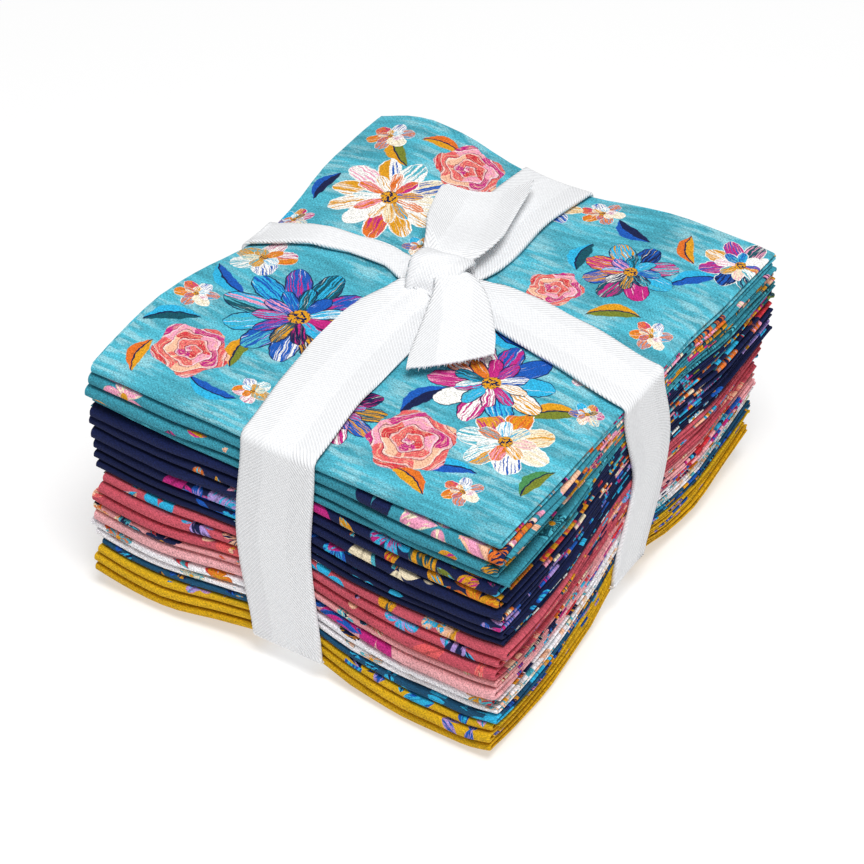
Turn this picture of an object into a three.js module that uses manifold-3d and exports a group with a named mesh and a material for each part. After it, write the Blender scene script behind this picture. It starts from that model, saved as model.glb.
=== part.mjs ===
// Fat quarter bundle: folded cuts of quilting cotton in a stack, tied both ways with a woven ribbon.
// Millimetres, +Z up. -Y is the front, where each cut shows one round fold.
// The origin is on the surface that the bundle rests on, under the middle of its box.
import * as THREE from 'three';
import { mergeVertices } from 'three/addons/utils/BufferGeometryUtils.js';
import Module from 'manifold-3d';

// The cut and how it is folded: the length in quarters along X, then the width in thirds along Y.
const CUT_LENGTH = 533.4;
const CUT_WIDTH = 457.2;
const PLIES_IN_A_LAYER = 4;
const LAYERS = 3;
const WIDTH = CUT_LENGTH / PLIES_IN_A_LAYER;
const DEPTH = CUT_WIDTH / LAYERS;

// Room between neighbouring cuts, and between the three layers of one cut.
const PIECE_GAP = 0.34;
const LAYER_GAP = 0.16;

// How far the round front fold and the smaller back fold reach past their straight layers.
const FRONT_FOLD_REACH = 1.9;
const BACK_FOLD_REACH = 1.35;
const TUCK_ROOM = 0.3;
const TOP_LAYER_SHORT = 1.2;
const SLIT_END = 1.2;

// The ribbon.
const RIBBON_WIDTH = 25.4;
const RIBBON_THICKNESS = 1.0;
const RIBBON_GAP = 0.3;
const FOLD_BEND = 1.9;
const SIDE_BEND = 0.9;

// The tied shape: what the ribbon and the handling do to the square stack. Each face is drawn in along
// the ribbon by its recess, where the ribbon goes over each edge, and at the corners (left, right).
const EDGE_PULL = 2.0;
const TOP_FACE = {
  recess: 0.5,
  front: 1.8,
  back: 3.5,
  left: 6.5,
  right: 3.2,
  corners: { front: [1.0, 0.5], back: [5.0, 1.0] },
};
const BOTTOM_FACE = {
  recess: RIBBON_THICKNESS + RIBBON_GAP,
  front: 5.3,
  back: 4.0,
  left: 4.0,
  right: 7.5,
  corners: { front: [4.0, 2.8], back: [4.0, 4.5] },
};
const WAVE_HEIGHT = 0.2;

// The lines at which the shape bends. BAND and RIM say which lines the ribbon and the edge are on.
const X_LINES = [-WIDTH / 2, -44, -18, 12, 41, WIDTH / 2];
const Y_LINES = [-DEPTH / 2, -49, -12, 25, 49, DEPTH / 2];
const BAND = [0, 0, 1, 1, 0, 0];
const RIM = [1, 0, 0, 0, 0, 1];

// One row for each cut, from the top down. pitch is its share of the stack's height; front, shift and
// grow are how far it sticks out at the front, lies over to +X and is wider than the rest; turn is
// its twist on the stack, in mm to each mm.
const CUTS = [
  { colour: 0x4fa9b4, pitch: 3.78, front: -0.2, shift: -1.2, grow: 0.0, turn: 0.004 },
  { colour: 0x3f9aa8, pitch: 4.40, front: 0.8, shift: -0.3, grow: 0.8, turn: -0.003 },
  { colour: 0x45a0ad, pitch: 4.27, front: 1.2, shift: -1.4, grow: 0.5, turn: 0.002 },
  { colour: 0x3f98a6, pitch: 3.40, front: -0.6, shift: 0.3, grow: 0.6, turn: -0.004 },
  { colour: 0x27305f, pitch: 4.27, front: 0.7, shift: -1.0, grow: 0.2, turn: 0.003 },
  { colour: 0x232c5c, pitch: 4.02, front: 0.2, shift: -0.6, grow: 0.5, turn: -0.002 },
  { colour: 0x262f62, pitch: 4.15, front: 0.6, shift: -0.2, grow: 0.6, turn: 0.003 },
  { colour: 0x222b58, pitch: 4.27, front: 0.1, shift: -0.5, grow: 0.2, turn: -0.004 },
  { colour: 0x1f2750, pitch: 3.40, front: -0.7, shift: 1.1, grow: 0.2, turn: 0.002 },
  { colour: 0x1e274f, pitch: 3.40, front: -1.1, shift: 1.5, grow: -0.1, turn: 0.006 },
  { colour: 0xd8606c, pitch: 3.84, front: -0.4, shift: 1.7, grow: 0.0, turn: -0.003 },
  { colour: 0xd65e6b, pitch: 3.97, front: 0.3, shift: 0.9, grow: 0.1, turn: 0.004 },
  { colour: 0xd35a68, pitch: 4.21, front: 0.9, shift: 0.0, grow: 0.1, turn: -0.002 },
  { colour: 0xe8a3a3, pitch: 3.40, front: 0.0, shift: -0.1, grow: 0.0, turn: 0.003 },
  { colour: 0xe9a9ac, pitch: 4.40, front: 0.6, shift: -0.7, grow: 0.1, turn: -0.005 },
  { colour: 0xf2eff2, pitch: 3.66, front: -0.3, shift: -0.2, grow: -0.5, turn: 0.002 },
  { colour: 0xf0eef0, pitch: 3.40, front: -0.9, shift: 1.0, grow: -0.5, turn: 0.005 },
  { colour: 0xd9b12a, pitch: 3.40, front: -0.4, shift: 0.4, grow: -0.4, turn: -0.004 },
  { colour: 0xdcb01f, pitch: 3.66, front: 0.3, shift: 0.4, grow: -0.2, turn: 0.002 },
  { colour: 0xd9ae18, pitch: 3.97, front: 1.0, shift: -0.2, grow: -0.5, turn: -0.002 },
  { colour: 0xd4a814, pitch: 3.81, front: 0.5, shift: -0.3, grow: -0.6, turn: 0.003 },
];
const STACK = CUTS.reduce((sum, cut) => sum + cut.pitch, 0);

// ---- The tied shape -------------------------------------------------------------------------

// The cell of a row of lines that holds a value, and how far across it the value lies. Past the
// outer lines the outer cells go on.
function cell(lines, value) {
  let low = 0;
  while (low < lines.length - 2 && value > lines[low + 1]) {
    low += 1;
  }
  return { low, part: (value - lines[low]) / (lines[low + 1] - lines[low]) };
}

// The share of the ribbon's band at a place along one axis.
function bandShare(lines, value) {
  const { low, part } = cell(lines, value);
  const share = BAND[low] + (BAND[low + 1] - BAND[low]) * part;
  return Math.min(1, Math.max(0, share));
}

// How far the surface moves in where two bend lines cross, for one face of the bundle.
function drawnIn(j, k, face) {
  const band = face.recess * Math.max(BAND[j], BAND[k]);
  const frontOrBack = BAND[j] * RIM[k] * (k === 0 ? face.front : face.back);
  const leftOrRight = RIM[j] * BAND[k] * (j === 0 ? face.left : face.right);
  const corners = k === 0 ? face.corners.front : face.corners.back;
  return band + frontOrBack + leftOrRight + RIM[j] * RIM[k] * corners[j === 0 ? 0 : 1];
}

function drawnInAt(x, y, face) {
  const u = cell(X_LINES, x);
  const v = cell(Y_LINES, y);
  const near = THREE.MathUtils.lerp(drawnIn(u.low, v.low, face), drawnIn(u.low + 1, v.low, face), u.part);
  const far = THREE.MathUtils.lerp(
    drawnIn(u.low, v.low + 1, face),
    drawnIn(u.low + 1, v.low + 1, face),
    u.part,
  );
  return THREE.MathUtils.lerp(near, far, v.part);
}

function topAt(x, y) {
  return STACK - drawnInAt(x, y, TOP_FACE);
}

function bottomAt(x, y) {
  return drawnInAt(x, y, BOTTOM_FACE);
}

// A height in the square stack, carried into the tied shape.
function tiedHeight(x, y, height) {
  return THREE.MathUtils.lerp(bottomAt(x, y), topAt(x, y), height / STACK);
}

// ---- One cut --------------------------------------------------------------------------------

// The joint below the cut of this index, which rises and falls a little from line to line.
function jointHeight(index, station) {
  const below = CUTS.slice(index + 1).reduce((sum, cut) => sum + cut.pitch, 0);
  const isOuterFace = index < 0 || index === CUTS.length - 1;
  const phase = 2.3 * index + 1.9 * station;
  return below + (isOuterFace ? 0 : WAVE_HEIGHT * Math.sin(phase));
}

// Points of an oval arc in the section, without its two ends. Angles are in degrees from +Y.
function arc(centre, reach, rise, from, to, count) {
  const points = [];
  for (let i = 1; i <= count; i += 1) {
    const angle = THREE.MathUtils.degToRad(THREE.MathUtils.lerp(from, to, i / (count + 1)));
    points.push([centre[0] + reach * Math.cos(angle), centre[1] + rise * Math.sin(angle)]);
  }
  return points;
}

// A straight run of the section at one height, through the bend lines between its ends.
function run(from, to, height) {
  const inner = Y_LINES.slice(1, -1);
  const lines = from < to ? inner : inner.toReversed();
  return [from, ...lines, to].map((y) => [y, height]);
}

// The back-and-forth section of a cut at one bend line, as stretches of [y, height in the stack] that
// follow one another round it. Three layers lie one on another. The lower and upper ones meet in the
// round front fold, with the end of the middle one tucked in. The lower and middle ones meet in the
// back fold.
function sectionOf(cut, index, station) {
  const tied = BAND[station];
  const x = X_LINES[station];
  const front = -DEPTH / 2 + EDGE_PULL * tied - (cut.front - cut.turn * x) * (1 - tied);
  const back = DEPTH / 2 - EDGE_PULL * tied - (cut.front - cut.turn * x) * (1 - tied);
  const low = jointHeight(index, station) + PIECE_GAP / 2;
  const high = jointHeight(index - 1, station) - PIECE_GAP / 2;
  const layer = (high - low - (LAYERS - 1) * LAYER_GAP) / LAYERS;
  const step = layer + LAYER_GAP;
  const frontRun = front + FRONT_FOLD_REACH;
  const backRun = back - BACK_FOLD_REACH;
  const middle = (low + high) / 2;
  const tuck = frontRun + TUCK_ROOM;
  const topEnd = back - TOP_LAYER_SHORT;
  const slit = back - SLIT_END * layer;
  return {
    lowerUnder: run(frontRun, backRun, low),
    backFold: arc([backRun, low + (layer + step) / 2], BACK_FOLD_REACH, (layer + step) / 2, -90, 90, 3),
    middleOver: run(backRun, tuck, low + step + layer),
    middleUnder: run(tuck, backRun, low + step),
    slit: [[slit, low + layer + LAYER_GAP / 2]],
    lowerOver: run(backRun, frontRun, low + layer),
    frontHollow: arc([frontRun, middle], FRONT_FOLD_REACH - layer, middle - low - layer, 270, 90, 1),
    upperUnder: run(frontRun, topEnd, low + 2 * step),
    upperOver: run(topEnd, frontRun, high),
    frontFold: arc([frontRun, middle], FRONT_FOLD_REACH, middle - low, 90, 270, 3),
  };
}

// The triangles of a section's end: a row of quads along each layer, and the two folds. The side
// edges aren't straight, so the quads keep to the bend lines.
function sectionCap(section) {
  const points = Object.values(section).flat();
  const places = {};
  let count = 0;
  for (const [name, stretch] of Object.entries(section)) {
    places[name] = stretch.map((_, i) => count + i);
    count += stretch.length;
  }
  const triangles = [];
  const layers = [['lowerUnder', 'lowerOver'], ['middleUnder', 'middleOver'], ['upperUnder', 'upperOver']];
  for (const [under, over] of layers) {
    const below = places[under];
    const above = places[over].toReversed();
    for (let i = 0; i < below.length - 1; i += 1) {
      triangles.push([below[i], below[i + 1], above[i + 1]], [below[i], above[i + 1], above[i]]);
    }
  }
  const folds = [
    [
      places.lowerUnder.at(-1),
      ...places.backFold,
      places.middleOver[0],
      places.middleUnder.at(-1),
      ...places.slit,
      places.lowerOver[0],
    ],
    [
      places.lowerUnder[0],
      places.lowerOver.at(-1),
      ...places.frontHollow,
      places.upperUnder[0],
      places.upperOver.at(-1),
      ...places.frontFold,
    ],
  ];
  for (const fold of folds) {
    const outline = fold.map((place) => new THREE.Vector2(...points[place]));
    const faces = THREE.ShapeUtils.triangulateShape(outline, []);
    triangles.push(...faces.map((face) => face.map((corner) => fold[corner])));
  }
  return triangles;
}

// How far the side edge of a cut lies from the bend line at the side of the stack.
function sideShift(cut, station, y) {
  const side = Math.sign(X_LINES[station]) * RIM[station];
  const tied = bandShare(Y_LINES, y);
  const loose = cut.shift + side * cut.grow + cut.turn * y;
  return Math.abs(side) * ((1 - tied) * loose - side * tied * EDGE_PULL);
}

// A closed skin over rings that have the same number of points, with a flat cap at each end. Seen
// from above, all quads are split along the same diagonal, so that stacked faces stay parallel.
function loft(rings, capTriangles, closed) {
  const count = rings[0].length;
  const spans = closed ? rings.length : rings.length - 1;
  const triangles = [];
  for (let r = 0; r < spans; r += 1) {
    const here = r * count;
    const next = ((r + 1) % rings.length) * count;
    for (let i = 0; i < count; i += 1) {
      const j = (i + 1) % count;
      if (rings[r][j][1] > rings[r][i][1]) {
        triangles.push(here + i, here + j, next + j, here + i, next + j, next + i);
      } else {
        triangles.push(here + i, here + j, next + i, here + j, next + j, next + i);
      }
    }
  }
  const last = (rings.length - 1) * count;
  for (const [a, b, c] of closed ? [] : capTriangles) {
    triangles.push(c, b, a, last + a, last + b, last + c);
  }
  const geometry = new THREE.BufferGeometry();
  geometry.setAttribute('position', new THREE.Float32BufferAttribute(rings.flat(2), 3));
  geometry.setIndex(triangles);
  geometry.computeVertexNormals();
  return geometry;
}

function cutGeometry(cut, index) {
  const sections = X_LINES.map((_, station) => sectionOf(cut, index, station));
  const rings = sections.map((section, station) => Object.values(section).flat().map(([y, height]) => {
    const x = X_LINES[station] + sideShift(cut, station, y);
    return [x, y, tiedHeight(x, y, height)];
  }));
  return loft(rings, sectionCap(sections[0]), false);
}

// ---- The ribbon -----------------------------------------------------------------------------

// Where the points of a strip lie across it: a flat one has two edges, and a cupped one has a crown.
const FLAT = [-1, 1];
const CUPPED = [-1, -0.4, 0.4, 1];

// A ribbon's cross-section at one place. cup lifts its edges over its middle.
function ribbonRing({ centre, across, normal, width, thickness = RIBBON_THICKNESS, cup = 0 }, profile) {
  const face = (side) => profile.map((part) => new THREE.Vector3()
    .copy(centre)
    .addScaledVector(across, part * width / 2)
    .addScaledVector(normal, side * thickness / 2 + cup * part * part)
    .toArray());
  return [...face(-1), ...face(1).toReversed()];
}

// The triangles that close the end of a strip, between its lower and upper points.
function stripCap(count) {
  const triangles = [];
  for (let i = 0; i < count - 1; i += 1) {
    const above = 2 * count - 1 - i;
    triangles.push([i, i + 1, above - 1], [i, above - 1, above]);
  }
  return triangles;
}

function strip(places, profile, closed) {
  const rings = places.map((place) => ribbonRing(place, profile));
  return loft(rings, stripCap(profile.length), closed);
}

// Where the knot is tied on top, and the ribbon's four arms: where it lies across the arm and how wide
// it is near the knot, at the last bend line on top, at the top edge, halfway down and underneath.
const KNOT = { x: -5.5, y: 6.5, width: 12, rise: 1.3 };
const ARMS = {
  front: {
    knee: { off: -3.4, width: 24.5 },
    outer: { off: -2.6, width: RIBBON_WIDTH },
    edge: { off: -2.5, width: RIBBON_WIDTH },
    middle: { off: -5.3, width: 24.4 },
    under: { off: -3.4, width: 24.2 },
  },
  back: {
    knee: { off: -2.5, width: 22 },
    outer: { off: -1.2, width: 23 },
    edge: { off: -0.5, width: 24 },
    middle: { off: -2.0, width: RIBBON_WIDTH },
    under: { off: -3.0, width: 24.5 },
  },
  right: {
    knee: { off: 5.6, width: 22 },
    outer: { off: 4.0, width: 22 },
    edge: { off: 0.8, width: 22 },
    middle: { off: 11.0, width: 23 },
    under: { off: 2.4, width: 21 },
  },
  left: {
    knee: { off: 9.2, width: 7.5, thickness: 2.2 },
    outer: { off: 8.2, width: 9.5, thickness: 1.6 },
    edge: { off: 4.2, width: 14 },
    middle: { off: 5.0, width: 20 },
    under: { off: 4.0, width: 22 },
  },
};
const KNEE = 18;

// Half of a loop, from the knot over one edge and under to the middle of the bottom, as rows of the
// distance along the loop's axis, the height, the place across it and the ribbon's width. side holds
// the sign of the direction, the stack's half size, the last bend line and the radius of the bends.
function halfLoop(arm, side, heights, knotAt) {
  const { sign, half, outer, bend } = side;
  const lift = RIBBON_GAP + RIBBON_THICKNESS / 2;
  const face = half - EDGE_PULL + lift;
  const flatEnd = face - bend;
  const turn = bend * (1 - Math.SQRT1_2);
  const knee = sign * knotAt + KNEE;
  const onTop = (distance, place) => {
    const bunched = ((place.thickness ?? RIBBON_THICKNESS) - RIBBON_THICKNESS) / 2;
    return heights.top(sign * distance, place.off) + lift + bunched;
  };
  const topEdge = onTop(flatEnd, arm.edge);
  const lowEdge = heights.bottom(sign * flatEnd, arm.under.off) - lift;
  return [
    { s: sign * knee, z: onTop(knee, arm.knee), ...arm.knee },
    { s: sign * outer, z: onTop(outer, arm.outer), ...arm.outer },
    { s: sign * flatEnd, z: topEdge, ...arm.edge },
    { s: sign * (face - turn), z: topEdge - turn, ...arm.edge },
    { s: sign * face, z: topEdge - bend, ...arm.edge },
    { s: sign * face, z: (topEdge + lowEdge) / 2, ...arm.middle },
    { s: sign * face, z: lowEdge + bend, ...arm.under },
    { s: sign * (face - turn), z: lowEdge + turn, ...arm.under },
    { s: sign * flatEnd, z: lowEdge, ...arm.under },
    { s: sign * outer, z: RIBBON_THICKNESS / 2, ...arm.under },
  ];
}

// A closed loop through the knot. toWorld turns the rows' own axes into X and Y.
function loopGeometry(near, far, knotAt, knotOff, toWorld) {
  const knot = { s: knotAt, off: knotOff, z: STACK + KNOT.rise, width: KNOT.width };
  const rows = [knot, ...near, ...far.toReversed()];
  const places = rows.map((row, i) => {
    const before = rows[(i + rows.length - 1) % rows.length];
    const after = rows[(i + 1) % rows.length];
    const tangent = new THREE.Vector2(after.s - before.s, after.z - before.z).normalize();
    const along = toWorld(tangent.x, 0).setZ(tangent.y);
    const normal = toWorld(tangent.y, 0).setZ(-tangent.x);
    const across = normal.clone().cross(along);
    return {
      centre: toWorld(row.s, row.off).setZ(row.z),
      across,
      normal,
      width: row.width,
      thickness: row.thickness,
    };
  });
  return strip(places, FLAT, true);
}

function frontBackLoop() {
  const heights = { top: (s, off) => topAt(off, s), bottom: (s, off) => bottomAt(off, s) };
  const front = { sign: -1, half: DEPTH / 2, outer: -Y_LINES[1], bend: FOLD_BEND };
  const back = { sign: 1, half: DEPTH / 2, outer: Y_LINES[4], bend: FOLD_BEND };
  const near = halfLoop(ARMS.front, front, heights, KNOT.y);
  const far = halfLoop(ARMS.back, back, heights, KNOT.y);
  return loopGeometry(near, far, KNOT.y, KNOT.x, (s, off) => new THREE.Vector3(off, s, 0));
}

function sideLoop() {
  const heights = { top: (s, off) => topAt(s, off), bottom: (s, off) => bottomAt(s, off) };
  const left = { sign: -1, half: WIDTH / 2, outer: -X_LINES[1], bend: SIDE_BEND };
  const right = { sign: 1, half: WIDTH / 2, outer: X_LINES[4], bend: SIDE_BEND };
  const near = halfLoop(ARMS.left, left, heights, KNOT.x);
  const far = halfLoop(ARMS.right, right, heights, KNOT.x);
  return loopGeometry(near, far, KNOT.x, KNOT.y, (s, off) => new THREE.Vector3(s, off, 0));
}

// A loose end or the knot's wrap: places by hand above the top of the stack. angle is the direction
// of the ribbon's width, in degrees from +X.
const FRONT_TAIL = [
  { x: -3.4, y: 5.6, rise: 4.2, angle: 40, width: 10, cup: 0 },
  { x: 0.6, y: 5.2, rise: 6.0, angle: 44, width: 14, cup: -0.4 },
  { x: 4.6, y: 3.6, rise: 5.8, angle: 47, width: 19, cup: -0.6 },
  { x: 9.1, y: -2.0, rise: 4.3, angle: 53, width: 23.5, cup: -0.4 },
  { x: 14.3, y: -10.8, rise: 3.4, angle: 51, width: 25, cup: 0 },
  { x: 18.1, y: -18.3, rise: 3.4, angle: 48, width: RIBBON_WIDTH, cup: 0 },
];
const BACK_TAIL = [
  { x: -5.5, y: 8.5, rise: 4.4, angle: 0, width: 10.5, cup: 0 },
  { x: -5.6, y: 13.6, rise: 6.4, angle: 0, width: 13.5, cup: 0.4 },
  { x: -5.8, y: 19.2, rise: 6.2, angle: 0, width: 18, cup: 1.0 },
  { x: -7.4, y: 27.2, rise: 4.4, angle: 3, width: 22.5, cup: 2.0 },
  { x: -10, y: 36.1, rise: 3.0, angle: 5, width: 23.7, cup: 2.8 },
  { x: -12.3, y: 44.6, rise: 2.4, angle: 16, width: 23, cup: 3.4 },
  { x: -13.2, y: 51.1, rise: 2.2, angle: 41, width: 26, cup: 3.7 },
];
const KNOT_WRAP = [
  { x: -5.0, y: 13.9, rise: 1.8, angle: 7, width: 10, cup: 0 },
  { x: -5.1, y: 12.9, rise: 5.2, angle: 7, width: 11, cup: -0.4 },
  { x: -5.3, y: 10.4, rise: 7.8, angle: 7, width: 12, cup: -0.8 },
  { x: -5.5, y: 7.4, rise: 8.6, angle: 7, width: 12, cup: -1.0 },
  { x: -5.7, y: 4.4, rise: 7.8, angle: 7, width: 11.6, cup: -0.8 },
  { x: -5.9, y: 1.9, rise: 5.2, angle: 7, width: 10.8, cup: -0.4 },
  { x: -6.0, y: 0.9, rise: 1.8, angle: 7, width: 9.8, cup: 0 },
];

function looseStrip(rows, thickness) {
  const centres = rows.map((row) => new THREE.Vector3(row.x, row.y, STACK + row.rise));
  const last = rows.length - 1;
  return strip(rows.map((row, i) => {
    const angle = THREE.MathUtils.degToRad(row.angle);
    const across = new THREE.Vector3(Math.cos(angle), Math.sin(angle), 0);
    const along = centres[Math.min(i + 1, last)].clone().sub(centres[Math.max(i - 1, 0)]).normalize();
    const normal = along.clone().cross(across).normalize();
    const facing = Math.sign(normal.z);
    return {
      centre: centres[i],
      across: across.multiplyScalar(facing),
      normal: normal.multiplyScalar(facing),
      width: row.width,
      thickness,
      cup: row.cup,
    };
  }), CUPPED, false);
}

// The bunched turns inside the knot.
const KNOT_CORE = { back: 0.8, along: 7.2, across: 6.6, rise: 4.1, height: 4.2, angle: 7 };

function knotCore() {
  const geometry = new THREE.SphereGeometry(1, 14, 9);
  geometry.rotateX(Math.PI / 2);
  geometry.scale(KNOT_CORE.across, KNOT_CORE.along, KNOT_CORE.rise);
  geometry.rotateZ(THREE.MathUtils.degToRad(KNOT_CORE.angle));
  geometry.translate(KNOT.x, KNOT.y + KNOT_CORE.back, STACK + KNOT_CORE.height);
  return geometry;
}

// ---- Joining --------------------------------------------------------------------------------

// Joined corners closer than this are one.
const WELD = 0.004;

const manifoldLibrary = await Module();
manifoldLibrary.setup();

function toManifold(geometry) {
  const bare = new THREE.BufferGeometry();
  bare.setAttribute('position', geometry.getAttribute('position'));
  bare.setIndex(geometry.getIndex());
  const merged = mergeVertices(bare, 1e-4);
  return new manifoldLibrary.Manifold(new manifoldLibrary.Mesh({
    numProp: 3,
    vertProperties: new Float32Array(merged.getAttribute('position').array),
    triVerts: new Uint32Array(merged.getIndex().array),
  }));
}

function joined(geometries) {
  const whole = geometries.map(toManifold).reduce((sum, solid) => sum.add(solid));
  const mesh = whole.getMesh();
  const cut = new THREE.BufferGeometry();
  cut.setAttribute('position', new THREE.Float32BufferAttribute(mesh.vertProperties, 3));
  cut.setIndex([...mesh.triVerts]);
  return withoutSlivers(mergeVertices(cut, WELD));
}

// Drops the triangles that merging has left with two corners at one point.
function withoutSlivers(geometry) {
  const corners = geometry.getIndex().array;
  const kept = [];
  for (let i = 0; i < corners.length; i += 3) {
    const [a, b, c] = corners.slice(i, i + 3);
    if (a !== b && b !== c && c !== a) {
      kept.push(a, b, c);
    }
  }
  geometry.setIndex(kept);
  geometry.computeVertexNormals();
  return geometry;
}

// ---- The bundle -----------------------------------------------------------------------------

const COTTON_ROUGHNESS = 0.92;
const RIBBON_FINISH = { color: 0xf4f4f5, roughness: 0.8, metalness: 0 };
const TAIL_THICKNESS = 1.0;
const WRAP_THICKNESS = 1.8;

const bundle = new THREE.Group();

function addPiece(name, geometry, finish) {
  const piece = new THREE.Mesh(geometry, new THREE.MeshStandardMaterial(finish));
  piece.name = name;
  bundle.add(piece);
}

CUTS.forEach((cut, index) => {
  const number = String(index + 1).padStart(2, '0');
  const finish = { color: cut.colour, roughness: COTTON_ROUGHNESS, metalness: 0 };
  addPiece(`quarter_${number}`, cutGeometry(cut, index), finish);
});
addPiece('ribbon', joined([
  frontBackLoop(),
  sideLoop(),
  knotCore(),
  looseStrip(KNOT_WRAP, WRAP_THICKNESS),
  looseStrip(FRONT_TAIL, TAIL_THICKNESS),
  looseStrip(BACK_TAIL, TAIL_THICKNESS),
]), RIBBON_FINISH);

const box = new THREE.Box3().setFromObject(bundle);
const middle = box.getCenter(new THREE.Vector3());
bundle.position.set(-middle.x, -middle.y, -box.min.z);

export default bundle;
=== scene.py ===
"""Fat quarter bundle: folded cuts of printed quilting cotton, tied both ways with a twill ribbon."""
import logging
import math
from collections.abc import Callable, Sequence
from dataclasses import dataclass, field
from enum import Enum, IntEnum

import bpy
import numpy as np
from mathutils import Matrix, Vector


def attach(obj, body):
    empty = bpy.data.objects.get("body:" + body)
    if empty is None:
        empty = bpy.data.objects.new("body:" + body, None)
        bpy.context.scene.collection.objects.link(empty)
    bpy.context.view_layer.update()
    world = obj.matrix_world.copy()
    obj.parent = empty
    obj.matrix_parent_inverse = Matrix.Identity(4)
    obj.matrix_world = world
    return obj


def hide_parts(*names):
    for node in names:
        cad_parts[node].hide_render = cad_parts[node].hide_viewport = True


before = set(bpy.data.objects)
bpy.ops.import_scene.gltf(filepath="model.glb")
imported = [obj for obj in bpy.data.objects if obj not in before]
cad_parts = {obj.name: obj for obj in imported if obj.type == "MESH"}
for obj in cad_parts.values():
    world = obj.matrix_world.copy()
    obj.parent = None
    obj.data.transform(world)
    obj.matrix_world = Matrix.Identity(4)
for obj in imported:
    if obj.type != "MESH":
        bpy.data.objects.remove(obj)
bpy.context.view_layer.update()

LOG = logging.getLogger("bundle")
MM = 0.001
WHITE = (1.0, 1.0, 1.0, 1.0)

# The cut and its fold, in mm: quarters of the length across the bundle, thirds of the width along it.
CUT_LENGTH = 533.4
CUT_WIDTH = 457.2
PANEL = CUT_LENGTH / 4
THIRD = CUT_WIDTH / 3
PLIES = 12

# The bake map: the size and corner of the printed face's half, how far along the other half lies, and
# the margin between strips. The loose thread ends share one spot in the corner.
BAKE_SIZE, BAKE_CORNER, BAKE_OTHER, BAKE_MARGIN = (0.485, 0.97), (0.005, 0.015), (0.5, 0.0), 0.002
BAKE_SPOT = 0.0015

Socket = bpy.types.NodeSocket


# ---- Meshes ------------------------------------------------------------------------------------


def ease(t: np.ndarray) -> np.ndarray:
    """Smooth step from 0 to 1.

    Args:
        t: Any numbers; those outside 0 to 1 are clamped.

    Returns:
        The eased numbers.
    """
    t = np.clip(t, 0.0, 1.0)
    return t * t * (3.0 - 2.0 * t)


def through(keys: Sequence[float], values: Sequence[float], at: np.ndarray) -> np.ndarray:
    """Smooth curve through a short table.

    Args:
        keys: Rising places of the table's rows.
        values: The value at each key.
        at: Where to read the curve.

    Returns:
        The curve's values, from a cubic with slopes taken from the neighbouring rows.
    """
    keys, values = np.asarray(keys, float), np.asarray(values, float)
    slopes = np.gradient(values, keys)
    row = np.clip(np.searchsorted(keys, at) - 1, 0, len(keys) - 2)
    span = keys[row + 1] - keys[row]
    t = np.clip((at - keys[row]) / span, 0.0, 1.0)
    t2, t3 = t * t, t * t * t
    return (
        (2 * t3 - 3 * t2 + 1) * values[row]
        + (t3 - 2 * t2 + t) * span * slopes[row]
        + (3 * t2 - 2 * t3) * values[row + 1]
        + (t3 - t2) * span * slopes[row + 1]
    )


def sway(seed: int, at: np.ndarray, wavelength: float) -> np.ndarray:
    """A slow random wander along one direction.

    Args:
        seed: Picks the wander.
        at: Places in mm.
        wavelength: The longest wave in mm.

    Returns:
        Numbers between about -1 and 1.
    """
    phases = np.random.default_rng(seed).uniform(0.0, 2 * math.pi, 4)
    waves = zip((1.0, 1.7, 2.9, 5.3), (0.5, 0.3, 0.2, 0.12), phases)
    return sum(size * np.sin(2 * math.pi * at * pace / wavelength + phase) for pace, size, phase in waves)


def unit(vectors: np.ndarray) -> np.ndarray:
    """Vectors of length 1 in the same directions, and 0 where there is none."""
    return vectors / (np.linalg.norm(vectors, axis=-1, keepdims=True) + 1e-12)


def placed(name: str, data: bpy.types.ID) -> bpy.types.Object:
    """Makes an object and links it to the scene.

    Args:
        name: Its name.
        data: Its mesh, lamp or camera.

    Returns:
        The object.
    """
    made = bpy.data.objects.new(name, data)
    bpy.context.scene.collection.objects.link(made)
    return made


def sheet_faces(rows: int, columns: int) -> tuple[np.ndarray, np.ndarray, np.ndarray]:
    """The four-sided faces of a closed sheet whose two faces are grids.

    Args:
        rows: The grid's rows of points.
        columns: Its columns.

    Returns:
        The faces of both grids, the faces of the rim between them, and the points round the front.
    """
    place = np.arange(rows * columns).reshape(rows, columns)
    front = np.stack([place[:-1, :-1], place[:-1, 1:], place[1:, 1:], place[1:, :-1]], -1).reshape(-1, 4)
    ring = np.concatenate([place[0, :-1], place[:-1, -1], place[-1, :0:-1], place[:0:-1, 0]])
    after = np.roll(ring, -1)
    rim = np.stack([after, ring, ring + place.size, after + place.size], -1)
    return np.concatenate([front, front[:, ::-1] + place.size]), rim, ring


def sharpen_outline(mesh: bpy.types.Mesh, ring: np.ndarray, count: int) -> None:
    """Marks the outlines of a sheet's two faces as sharp.

    Args:
        mesh: The sheet's mesh.
        ring: The points round its front.
        count: How many points each face has.
    """
    ends = np.empty(len(mesh.edges) * 2, int)
    mesh.edges.foreach_get("vertices", ends)
    first, second = ends.reshape(-1, 2).T
    on_ring = np.isin(np.arange(2 * count) % count, ring)
    outline = on_ring[first] & on_ring[second] & ((first < count) == (second < count))
    mesh.attributes.new("sharp_edge", "BOOLEAN", "EDGE").data.foreach_set("value", outline)


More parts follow.
